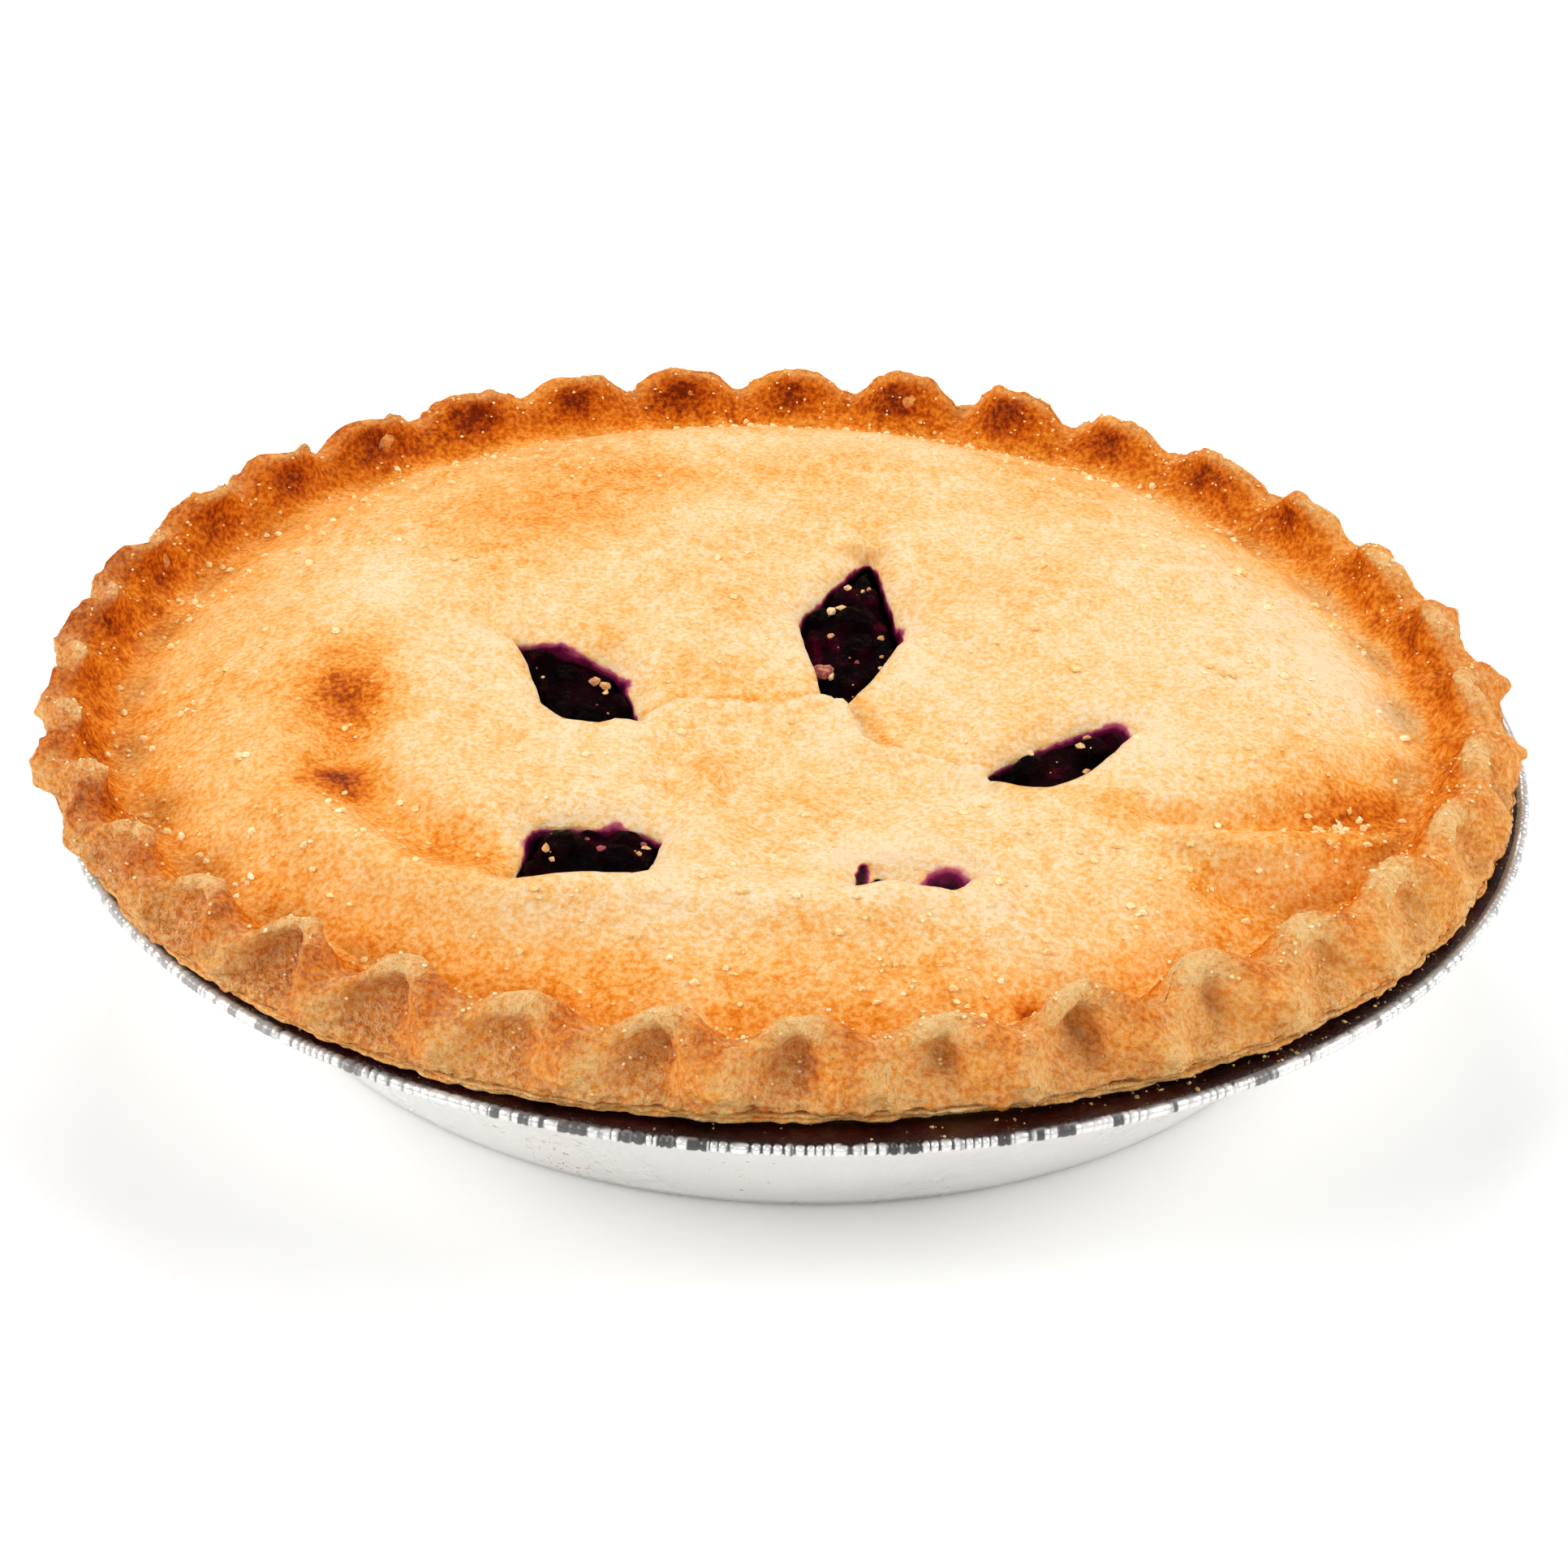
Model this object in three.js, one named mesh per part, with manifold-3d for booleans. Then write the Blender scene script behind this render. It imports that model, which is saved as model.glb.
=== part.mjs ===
// A blueberry pie baked in its foil tin: the tin, a bottom crust that lines it, the berry
// filling, and a top crust with a fluted rim and five kite-shaped vents.
// Millimetres, +Z up, the origin at the middle of the underside of the tin's flat base.
import * as THREE from 'three';
import { mergeVertices } from 'three/addons/utils/BufferGeometryUtils.js';
import Module from 'manifold-3d';

const wasm = await Module();
wasm.setup();

const DEGREE = Math.PI / 180;
const TURN = 2 * Math.PI;

// ---- Driving dimensions -------------------------------------------------------------

// Foil tin: a flat base, a slanted wall, a narrow flange and a rolled bead.
const TIN_THICKNESS = 0.5;
const TIN_BASE_RADIUS = 84.6;
const TIN_HEEL_RADIUS = 86.9;
const TIN_HEEL_HEIGHT = 1.4;
const TIN_WALL_TOP_RADIUS = 108.6;
const TIN_FLANGE_HEIGHT = 29.8;
const TIN_FLANGE_RADIUS = 113;
const BEAD_RADIUS = 0.95;
const BEAD_RING_RADIUS = 114.2;
const BEAD_HEIGHT = 30;
const BEAD_STEPS = 7;

// Clear space between neighbouring solids.
const GAP = 0.3;

// Bottom crust and filling. The lip of the bottom crust runs from the top of the tin's wall
// out over its bead.
const BOTTOM_CRUST_THICKNESS = 3.4;
const RIM_SHELF_RADIUS = 107.3;
const RIM_UNDERSIDE = 31.5;
const RIM_SEAM_HEIGHT = 32.8;
const LINING_CORNER = 1.5;
const FILLING_CLEARANCE = 1.1;
const FILLING_RADII = [94, 84, 62, 32];

// The crust slid towards the back left of the tin as it baked, its crest further than its
// edge, and it drew in at the front. Distances are from the tin's axis.
const CREST_RADIUS = 109.9;
const CREST_WAVES = [
  { turns: 1, size: 6.4, at: 127 * DEGREE },
  { turns: 3, size: 0.8, at: 92 * DEGREE },
  { turns: 5, size: 0.6, at: 60 * DEGREE },
];
const CREST_TILT = [{ turns: 1, size: 0.6, at: 250 * DEGREE }];
const EDGE_RADIUS = 114.3;
const EDGE_WAVES = [{ turns: 1, size: 2.2, at: 134 * DEGREE }];
const EDGE_DENT = { at: 278 * DEGREE, width: 25 * DEGREE, loss: 2.3 };

// Lid: a trough behind the rim, a shoulder, a plateau, and a sunken part round the vents.
const TROUGH_HEIGHT = 34.5;
const TROUGH_INSET = 10;
const PLATEAU_HEIGHT = 44.6;
const SHOULDER_WIDTH = 38;
const SHOULDER_POWER = 2.2;
const SINK_DEPTH = 5.5;
const SINK_RADIUS = 40;
const LID_WAVES = [
  { turns: 3, size: 0.5, at: 17 * DEGREE },
  { turns: 7, size: 0.35, at: 23 * DEGREE },
];
const LID_THICKNESS = 4.5;
const LID_REST = 12;
const LID_HANG = 23;

// Flutes: one wave of the rim for each pinch, unevenly spaced and uneven in strength, and
// nearly flat where the dough spread.
const FLUTES = 34;
const FLUTE_START = 12.7 * DEGREE;
const FLUTE_SWING = 2.2;
const FLUTE_LIFT = 1.7;
const FLUTE_SKEW = 0.16;
const FLUTE_FLATNESS = 0.25;
const FLUTE_DRIFT = [
  { turns: 1, size: 4.8 * DEGREE, at: 104 * DEGREE },
  { turns: 2, size: 0.9 * DEGREE, at: 36 * DEGREE },
  { turns: 3, size: 0.45 * DEGREE, at: 66 * DEGREE },
];
const STRENGTH_WAVES = [
  { turns: 5, size: 0.14, at: 5 * DEGREE },
  { turns: 11, size: 0.12, at: 6 * DEGREE },
];
const LIFT_WAVES = [{ turns: 1, size: 0.25, at: 84 * DEGREE }];
const SWING_PHASE = 0.18;
const LIFT_PHASE = -0.05;
const SPREAD_STRETCHES = [
  { at: 277 * DEGREE, width: 8 * DEGREE, loss: 0.45 },
  { at: 345 * DEGREE, width: 24 * DEGREE, loss: 0.35 },
];

// Vents: five kites stamped in a ring round a point in front of the pie's middle.
const STAMP_X = 1;
const STAMP_Y = -29;
const VENT_CORNER = 0.18;
const VENTS = [
  { azimuth: 149, inner: 26, waist: 41.5, outer: 57.5, halfWidth: 10.4, lean: -12 },
  { azimuth: 79, inner: 18.5, waist: 41.5, outer: 63, halfWidth: 8.8, lean: 0 },
  { azimuth: 0.5, inner: 27.5, waist: 38.5, outer: 51, halfWidth: 8.4, lean: 19 },
  { azimuth: -65, inner: 27, waist: 38, outer: 45.5, halfWidth: 8.4, lean: 12 },
  { azimuth: 226, inner: 25.5, waist: 41.5, outer: 55.5, halfWidth: 9.6, lean: -2 },
];

// Berries that break the filling's surface in each vent, from the vent's waist outwards.
const BERRIES = [
  { along: -3.6, across: 0.8, radius: 3.9, sunk: 1.8 },
  { along: 1.2, across: -0.8, radius: 4.3, sunk: 2.4 },
];

// Facets.
const RIM_STEPS = 8;
const TIN_SEGMENTS = 56;
const BERRY_DETAIL = 1;

// ---- Geometry helpers ---------------------------------------------------------------

// A closed solid skinned over rings. Rows run from a point on the axis round the outside and
// back to the axis; row.count points stand evenly round a row, and place(row, angle) gives
// each one. Neighbouring rows may differ in count.
function ringSolid(rows, place) {
  const points = [];
  const rings = rows.map((row) => {
    const ring = { first: points.length / 3, count: row.count };
    for (let column = 0; column < row.count; column += 1) {
      points.push(...place(row, (TURN * column) / row.count).toArray());
    }
    return ring;
  });
  const triangles = [];
  for (let k = 1; k < rings.length; k += 1) {
    triangles.push(...band(rings[k - 1], rings[k]));
  }
  const geometry = new THREE.BufferGeometry();
  geometry.setAttribute('position', new THREE.Float32BufferAttribute(points, 3));
  geometry.setIndex(triangles);
  return toManifold(geometry);
}

// Rows that all have the same count, apart from the two points on the axis.
function counted(rows, count) {
  return rows.map((row) => ({ ...row, count: row.r === 0 ? 1 : count }));
}

// The triangles between two rings, walking round both at the same pace.
function band(lower, upper) {
  const at = (ring, step) => ring.first + (step % ring.count);
  const triangles = [];
  let i = 0;
  let j = 0;
  while (i < lower.count || j < upper.count) {
    const lowerNext = (i + 1) * upper.count <= (j + 1) * lower.count;
    if (lowerNext && lower.count > 1) {
      triangles.push(at(lower, i), at(lower, i + 1), at(upper, j));
    } else if (!lowerNext && upper.count > 1) {
      triangles.push(at(lower, i), at(upper, j + 1), at(upper, j));
    }
    i += lowerNext ? 1 : 0;
    j += lowerNext ? 0 : 1;
  }
  return triangles;
}

// A three.js geometry as a solid that can be joined and cut.
function toManifold(geometry) {
  geometry.deleteAttribute('normal');
  geometry.deleteAttribute('uv');
  const merged = mergeVertices(geometry, 1e-4);
  return new wasm.Manifold(
    new wasm.Mesh({
      numProp: 3,
      vertProperties: merged.attributes.position.array,
      triVerts: new Uint32Array(merged.index.array),
    }),
  );
}

function toGeometry(solid) {
  const mesh = solid.getMesh();
  const geometry = new THREE.BufferGeometry();
  geometry.setAttribute('position', new THREE.BufferAttribute(mesh.vertProperties, 3));
  geometry.setIndex(new THREE.BufferAttribute(mesh.triVerts, 1));
  geometry.computeVertexNormals();
  return geometry;
}

function polar(radius, angle, z) {
  return new THREE.Vector3(radius * Math.cos(angle), radius * Math.sin(angle), z);
}

function bell(distance, width) {
  return Math.exp(-((distance / width) ** 2));
}

// A sum of waves that run round the axis.
function waves(list, angle) {
  return list.reduce((sum, wave) => sum + wave.size * Math.cos(wave.turns * (angle - wave.at)), 0);
}

// What a dent or a spread stretch of the rim takes away at an angle.
function lossAt(stretch, angle) {
  return stretch.loss * bell(turnBetween(angle, stretch.at), stretch.width);
}

// The shortest signed turn from one angle to another.
function turnBetween(angle, from) {
  return Math.atan2(Math.sin(angle - from), Math.cos(angle - from));
}

// ---- Form of the crust --------------------------------------------------------------

// How many pinches lie between the first one and an angle.
function flutePhase(angle) {
  return ((angle - FLUTE_START - waves(FLUTE_DRIFT, angle)) * FLUTES) / TURN;
}

function fluteStrength(angle) {
  const loss = SPREAD_STRETCHES.reduce((sum, stretch) => sum + lossAt(stretch, angle), 0);
  return 1 + waves(STRENGTH_WAVES, angle) - loss;
}

// In and out: innermost at each pinch, outermost a little before half way to the next one.
function fluteSwing(angle) {
  const phase = TURN * (flutePhase(angle) - SWING_PHASE);
  return fluteStrength(angle) * Math.sin(phase + FLUTE_SKEW * Math.sin(phase));
}

// Up and down: a broad top just before each pinch and a narrow dip half way to the next one.
function fluteLift(angle) {
  const phase = TURN * (flutePhase(angle) - LIFT_PHASE);
  const wave = Math.cos(phase) - FLUTE_FLATNESS * Math.cos(2 * phase);
  return fluteStrength(angle) * (1 + waves(LIFT_WAVES, angle)) * wave;
}

// Distances from the tin's axis to the rim's crest and to the crust's outer edge.
function crestReach(angle) {
  return CREST_RADIUS + waves(CREST_WAVES, angle);
}

function edgeReach(angle) {
  return EDGE_RADIUS + waves(EDGE_WAVES, angle) - lossAt(EDGE_DENT, angle);
}

// Height of the lid's top face above the tin's underside.
function lidHeight(x, y) {
  const angle = Math.atan2(y, x);
  const radius = Math.hypot(x, y);
  const inset = crestReach(angle) - radius - TROUGH_INSET;
  const climb = THREE.MathUtils.clamp(inset / SHOULDER_WIDTH, 0, 1);
  const dome = (PLATEAU_HEIGHT - TROUGH_HEIGHT) * (1 - (1 - climb) ** SHOULDER_POWER);
  const sink = SINK_DEPTH * bell(Math.hypot(x - STAMP_X, y - STAMP_Y), SINK_RADIUS);
  const wander = waves(LID_WAVES, angle) * climb * Math.min(1, radius / SINK_RADIUS);
  return TROUGH_HEIGHT + dome - sink + wander;
}

// Height of the lid's underside, which turns level to rest on the bottom crust's lip.
function lidUnderside(x, y) {
  const inset = crestReach(Math.atan2(y, x)) - Math.hypot(x, y);
  const hang = THREE.MathUtils.smoothstep(inset, LID_REST, LID_HANG);
  const hanging = lidHeight(x, y) - LID_THICKNESS;
  return THREE.MathUtils.lerp(RIM_SEAM_HEIGHT + GAP, hanging, hang);
}

// ---- Nodes --------------------------------------------------------------------------

function makeTin() {
  const rows = [
    { r: 0, z: 0 },
    { r: TIN_BASE_RADIUS, z: 0 },
    { r: TIN_HEEL_RADIUS, z: TIN_HEEL_HEIGHT },
    { r: TIN_WALL_TOP_RADIUS, z: TIN_FLANGE_HEIGHT - TIN_THICKNESS },
    { r: TIN_FLANGE_RADIUS, z: TIN_FLANGE_HEIGHT - TIN_THICKNESS },
  ];
  for (let step = 1; step <= BEAD_STEPS; step += 1) {
    const angle = -Math.PI + ((step - 0.5) / BEAD_STEPS) * TURN;
    const r = BEAD_RING_RADIUS + BEAD_RADIUS * Math.cos(angle);
    const z = BEAD_HEIGHT + BEAD_RADIUS * Math.sin(angle);
    if (r > TIN_FLANGE_RADIUS + TIN_THICKNESS) {
      rows.push({ r, z });
    }
  }
  rows.push(
    { r: TIN_FLANGE_RADIUS, z: TIN_FLANGE_HEIGHT },
    { r: tinInnerRadius(TIN_FLANGE_HEIGHT), z: TIN_FLANGE_HEIGHT },
    { r: tinInnerRadius(TIN_HEEL_HEIGHT), z: TIN_HEEL_HEIGHT },
    { r: TIN_BASE_RADIUS - TIN_THICKNESS, z: TIN_THICKNESS },
    { r: 0, z: TIN_THICKNESS },
  );
  return ringSolid(counted(rows, TIN_SEGMENTS), (row, angle) => polar(row.r, angle, row.z));
}

// Radius of the inner face of the tin's wall at a height.
function tinInnerRadius(z) {
  const rise = TIN_FLANGE_HEIGHT - TIN_THICKNESS - TIN_HEEL_HEIGHT;
  const slope = (TIN_WALL_TOP_RADIUS - TIN_HEEL_RADIUS) / rise;
  return TIN_HEEL_RADIUS + slope * (z - TIN_HEEL_HEIGHT) - TIN_THICKNESS * Math.hypot(1, slope);
}

// A cup that lines the tin, with a lip over the tin's flange and bead. A row's reach is the
// share of the way from the top of the wall to the crust's edge.
function makeBottomCrust() {
  const outside = (z) => tinInnerRadius(z) - 2 * GAP;
  const inside = (z) => outside(z) - BOTTOM_CRUST_THICKNESS;
  const floor = TIN_THICKNESS + GAP;
  const top = floor + BOTTOM_CRUST_THICKNESS;
  const shelf = TIN_FLANGE_HEIGHT + GAP;
  const rows = [
    { r: 0, z: floor },
    { r: TIN_BASE_RADIUS - LINING_CORNER, z: floor },
    { r: outside(floor + LINING_CORNER), z: floor + LINING_CORNER },
    { r: outside(shelf), z: shelf },
    { r: RIM_SHELF_RADIUS, z: shelf, reach: 0.05 },
    { r: RIM_SHELF_RADIUS, z: RIM_UNDERSIDE, reach: 0.5 },
    { r: RIM_SHELF_RADIUS, z: RIM_UNDERSIDE, reach: 0.97 },
    { r: RIM_SHELF_RADIUS, z: (RIM_UNDERSIDE + RIM_SEAM_HEIGHT) / 2, reach: 1 },
    { r: RIM_SHELF_RADIUS, z: RIM_SEAM_HEIGHT, reach: 0.93 },
    { r: inside(RIM_SEAM_HEIGHT), z: RIM_SEAM_HEIGHT },
    { r: inside(shelf), z: shelf },
    { r: inside(top + LINING_CORNER), z: top + LINING_CORNER },
    { r: inside(top) - 2 * LINING_CORNER, z: top },
    { r: 0, z: top },
  ];
  return ringSolid(counted(rows, TIN_SEGMENTS), (row, angle) => {
    const lip = row.reach ? row.reach * (edgeReach(angle) - row.r) : 0;
    return polar(row.r + lip, angle, row.z);
  });
}

function makeFilling() {
  const side = (z) => tinInnerRadius(z) - 4 * GAP - BOTTOM_CRUST_THICKNESS;
  const floor = TIN_THICKNESS + BOTTOM_CRUST_THICKNESS + 2 * GAP;
  const brim = RIM_SEAM_HEIGHT - FILLING_CLEARANCE;
  const rows = [
    { r: 0, z: floor },
    { r: side(floor) - 2 * LINING_CORNER, z: floor },
    { r: side(floor + LINING_CORNER), z: floor + LINING_CORNER },
    { r: side(brim), z: brim },
    ...FILLING_RADII.map((r) => ({ r, z: brim, top: true })),
    { r: 0, z: brim, top: true },
  ];
  const body = ringSolid(counted(rows, TIN_SEGMENTS), (row, angle) => {
    const point = polar(row.r, angle, row.z);
    if (row.top) {
      point.z = lidUnderside(point.x, point.y) - FILLING_CLEARANCE;
    }
    return point;
  });
  return VENTS.reduce((filling, vent) => addBerries(filling, vent), body);
}

// A point of a vent's own frame, along and across its long axis, in the pie's frame.
function ventPoint(vent, along, across) {
  const point = new THREE.Vector2(along, across).rotateAround(
    new THREE.Vector2(),
    vent.lean * DEGREE,
  );
  point.x += vent.waist;
  point.rotateAround(new THREE.Vector2(), vent.azimuth * DEGREE);
  return point.add(new THREE.Vector2(STAMP_X, STAMP_Y));
}

function addBerries(filling, vent) {
  let lumpy = filling;
  for (const berry of BERRIES) {
    const centre = ventPoint(vent, berry.along, berry.across);
    const ball = new THREE.IcosahedronGeometry(berry.radius, BERRY_DETAIL);
    const height = lidUnderside(centre.x, centre.y) - FILLING_CLEARANCE - berry.sunk;
    ball.translate(centre.x, centre.y, height);
    lumpy = lumpy.add(toManifold(ball));
  }
  return lumpy;
}

// A straight-sided cutter through the lid: a kite with its corners rounded.
function ventCutter(vent) {
  const corners = [
    ventPoint(vent, vent.inner - vent.waist, 0),
    ventPoint(vent, 0, -vent.halfWidth),
    ventPoint(vent, vent.outer - vent.waist, 0),
    ventPoint(vent, 0, vent.halfWidth),
  ];
  const outline = new THREE.Shape();
  corners.forEach((corner, k) => {
    const before = corners[(k + 3) % 4];
    const after = corners[(k + 1) % 4];
    const start = corner.clone().lerp(before, VENT_CORNER);
    const end = corner.clone().lerp(after, VENT_CORNER);
    if (k === 0) {
      outline.moveTo(start.x, start.y);
    } else {
      outline.lineTo(start.x, start.y);
    }
    outline.quadraticCurveTo(corner.x, corner.y, end.x, end.y);
  });
  outline.closePath();
  const depth = 2 * (PLATEAU_HEIGHT - TROUGH_HEIGHT);
  const prism = new THREE.ExtrudeGeometry(outline, { depth, bevelEnabled: false, curveSegments: 3 });
  prism.translate(0, 0, PLATEAU_HEIGHT - 0.75 * depth);
  return toManifold(prism);
}

// The lid and its fluted rim. A row stands at a share of the trough's radius, at an inset
// from the crest, or spread from the crest towards the edge. Its swing and lift are the
// shares of the flutes' travel that it takes up.
function makeTopCrust() {
  const seam = RIM_SEAM_HEIGHT + GAP;
  const underside = [
    { share: 0, count: 1 },
    { share: 0.34, count: FLUTES },
    { share: 0.64, count: 2 * FLUTES },
    { share: 0.87, count: 3 * FLUTES },
    { share: 0.985, count: 4 * FLUTES },
  ];
  const outside = [
    { spread: 0.8, z: seam, swing: 0.12, lift: 0 },
    { spread: 1, z: seam + 1.4, swing: 0.3, lift: 0 },
    { spread: 0.88, z: seam + 4.2, swing: 0.85, lift: 0.2 },
    { spread: 0.62, z: seam + 6.5, swing: 1, lift: 0.6 },
    { spread: 0.3, z: seam + 8, swing: 1, lift: 0.95 },
    { spread: 0, z: seam + 8.6, swing: 0.95, lift: 1 },
  ];
  const inside = [
    { inset: 1.8, z: seam + 7.9, swing: 0.9, lift: 0.9 },
    { inset: 3.6, z: seam + 5.9, swing: 0.7, lift: 0.5 },
    { inset: 5.1, z: seam + 3.3, swing: 0.35, lift: 0.15 },
    { inset: 7, z: TROUGH_HEIGHT + 0.4, swing: 0.1, lift: 0 },
    { inset: TROUGH_INSET, z: TROUGH_HEIGHT, swing: 0, lift: 0 },
  ];
  const dome = [
    { share: 0.95, count: 4 * FLUTES },
    { share: 0.885, count: 3 * FLUTES },
    { share: 0.79, count: 2 * FLUTES },
    { share: 0.66, count: 2 * FLUTES },
    { share: 0.48, count: 2 * FLUTES },
    { share: 0.26, count: FLUTES },
    { share: 0, count: 1 },
  ];
  const rows = [
    ...underside.map((row) => ({ ...row, face: lidUnderside })),
    ...outside.map((row) => ({ ...row, inset: 0, count: RIM_STEPS * FLUTES })),
    ...inside.map((row) => ({ ...row, spread: 0, count: RIM_STEPS * FLUTES })),
    ...dome.map((row) => ({ ...row, face: lidHeight })),
  ];
  const blank = ringSolid(rows, (row, angle) => {
    const crest = crestReach(angle);
    if (row.face) {
      const point = polar(row.share * (crest - TROUGH_INSET), angle, 0);
      return point.setZ(row.face(point.x, point.y));
    }
    const lean = row.spread * (edgeReach(angle) - crest);
    const swing = FLUTE_SWING * row.swing * fluteSwing(angle);
    const lift = row.lift * (FLUTE_LIFT * fluteLift(angle) + waves(CREST_TILT, angle));
    return polar(crest - row.inset + lean + swing, angle, row.z + lift);
  });
  return VENTS.reduce((crust, vent) => crust.subtract(ventCutter(vent)), blank);
}

// ---- Scene graph --------------------------------------------------------------------

function addNode(group, name, solid, finish) {
  const mesh = new THREE.Mesh(toGeometry(solid), new THREE.MeshStandardMaterial(finish));
  mesh.name = name;
  group.add(mesh);
}

const pie = new THREE.Group();
addNode(pie, 'foil_tin', makeTin(), { color: 0xd9dadb, roughness: 0.28, metalness: 1 });
addNode(pie, 'bottom_crust', makeBottomCrust(), { color: 0xc98f52, roughness: 0.85, metalness: 0 });
addNode(pie, 'filling', makeFilling(), { color: 0x1f0a1c, roughness: 0.2, metalness: 0 });
addNode(pie, 'top_crust', makeTopCrust(), { color: 0xe8b878, roughness: 0.75, metalness: 0 });

export default pie;
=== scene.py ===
# A blueberry pie in its foil tin. The frame is in metres; shapes are worked out in
# millimetres about the tin's axis, and turned into metres when a mesh is made.
import math

import bpy
import numpy as np
from mathutils import Matrix
from mathutils.geometry import delaunay_2d_cdt


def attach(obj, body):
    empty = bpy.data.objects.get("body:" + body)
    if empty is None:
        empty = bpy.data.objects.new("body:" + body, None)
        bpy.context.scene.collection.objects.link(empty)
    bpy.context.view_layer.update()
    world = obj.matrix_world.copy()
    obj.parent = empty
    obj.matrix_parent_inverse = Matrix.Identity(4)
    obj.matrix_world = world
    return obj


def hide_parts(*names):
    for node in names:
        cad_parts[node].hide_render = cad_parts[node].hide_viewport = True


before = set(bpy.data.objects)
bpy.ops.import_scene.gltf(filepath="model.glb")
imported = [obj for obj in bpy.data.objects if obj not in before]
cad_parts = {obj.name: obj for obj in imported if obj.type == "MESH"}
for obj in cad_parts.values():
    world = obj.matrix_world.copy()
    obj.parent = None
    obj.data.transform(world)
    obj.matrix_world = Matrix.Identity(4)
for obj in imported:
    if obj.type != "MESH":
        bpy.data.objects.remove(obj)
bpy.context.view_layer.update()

# ---- Sizes, as in the solids ----
TIN_THICKNESS = 0.5
TIN_BASE_RADIUS = 84.6
TIN_HEEL_RADIUS = 86.9
TIN_HEEL_HEIGHT = 1.4
TIN_WALL_TOP_RADIUS = 108.6
TIN_FLANGE_HEIGHT = 29.8
TIN_FLANGE_RADIUS = 113.0
BEAD_RADIUS = 0.95
BEAD_RING_RADIUS = 114.2
BEAD_HEIGHT = 30.0
GAP = 0.3
BOTTOM_CRUST_THICKNESS = 3.4
RIM_SHELF_RADIUS = 107.3
SEAM = 33.1
FILLING_CLEARANCE = 1.1
CREST_RADIUS = 109.9
CREST_WAVES = [(1, 6.4, 127), (3, 0.8, 92), (5, 0.6, 60)]
CREST_TILT = [(1, 0.6, 250)]
EDGE_RADIUS = 114.3
EDGE_WAVES = [(1, 2.2, 134)]
EDGE_DENTS = [(278, 25, 2.3)]
TROUGH_HEIGHT = 34.5
TROUGH_INSET = 10.0
PLATEAU_HEIGHT = 44.6
SHOULDER_WIDTH = 38.0
SHOULDER_POWER = 2.2
SINK_DEPTH = 5.5
SINK_RADIUS = 40.0
LID_WAVES = [(3, 0.5, 17), (7, 0.35, 23)]
LID_THICKNESS = 4.5
LID_REST = 12.0
LID_HANG = 23.0
FLUTES = 34
FLUTE_START = 12.7
FLUTE_LIFT = 1.7
FLUTE_SKEW = 0.16
FLUTE_FLATNESS = 0.25
FLUTE_DRIFT = [(1, 4.8, 104), (2, 0.9, 36), (3, 0.45, 66)]
STRENGTH_WAVES = [(5, 0.14, 5), (11, 0.12, 6)]
LIFT_WAVES = [(1, 0.25, 84)]
SWING_PHASE = 0.18
LIFT_PHASE = -0.05
SPREAD_STRETCHES = [(277, 8, 0.45), (345, 24, 0.35)]
STAMP = np.array([1.0, -29.0])
VENT_CORNER = 0.16
VENT_GROWTH = 0.35
# Corners of the vents' openings, anticlockwise
VENTS = [
    [(-45.6, 3.6), (-41.3, -6.4), (-38.6, -15.2), (-34.6, -20.4), (-22.3, -21.6), (-25.3, -9.4),
     (-28.4, -0.9), (-35.8, 2.4), (-42.0, 3.4)],
    [(5.0, -9.4), (6.2, -11.4), (12.1, -2.6), (17.0, 8.8), (15.0, 20.5), (11.7, 40.2), (-0.1, 16.4),
     (2.4, 3.6)],
    [(26.6, -30.0), (37.6, -37.0), (44.6, -33.0), (52.0, -20.4), (49.0, -16.4), (44.0, -17.0),
     (36.5, -21.6), (29.5, -27.0)],
    [(9.0, -69.4), (15.0, -67.6), (23.2, -69.0), (27.4, -62.3), (19.0, -57.8), (9.8, -55.0)],
    [(-39.4, -69.0), (-31.0, -67.9), (-21.0, -65.8), (-19.2, -58.0), (-18.4, -51.2), (-21.8, -49.0),
     (-32.0, -49.8), (-36.8, -51.4)],
]

# ---- Camera ----
IMAGE = 1932
CAMERA_ELEVATION = 31.45
CAMERA_ROLL = -1.8
CAMERA_DISTANCE = 560.0
FOCAL_PIXELS = 4221.95
CENTRE_PIXELS = (6.62, 129.01)
SENSOR = 36.0


def placed(name, data):
    """A new object in the scene."""
    made = bpy.data.objects.new(name, data)
    bpy.context.scene.collection.objects.link(made)
    return made


def aim(thing, place, across, up, back):
    """Puts a camera or a lamp at a place in metres, looking away from its back."""
    turn = Matrix(np.column_stack([across, up, back]).tolist()).to_4x4()
    thing.matrix_world = Matrix.Translation(np.array(place).tolist()) @ turn


def make_camera():
    data = bpy.data.cameras.new("camera")
    data.sensor_width = SENSOR
    data.lens = FOCAL_PIXELS / IMAGE * SENSOR
    data.shift_x = -CENTRE_PIXELS[0] / IMAGE
    data.shift_y = CENTRE_PIXELS[1] / IMAGE
    data.clip_start, data.clip_end = 0.01, 20
    camera = placed("camera", data)
    rise, roll = math.radians(CAMERA_ELEVATION), math.radians(CAMERA_ROLL)
    back = np.array([0, -math.cos(rise), math.sin(rise)])
    level, upward = np.array([1.0, 0, 0]), np.array([0, math.sin(rise), math.cos(rise)])
    across = math.cos(roll) * level - math.sin(roll) * upward
    up = math.sin(roll) * level + math.cos(roll) * upward
    aim(camera, back * CAMERA_DISTANCE / 1000, across, up, back)
    bpy.context.scene.camera = camera


# ---- Numbers ----
LATTICE = np.random.default_rng(11).uniform(-1, 1, 65536)
PRIMES = np.array([73856093, 19349663, 83492791])


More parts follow.
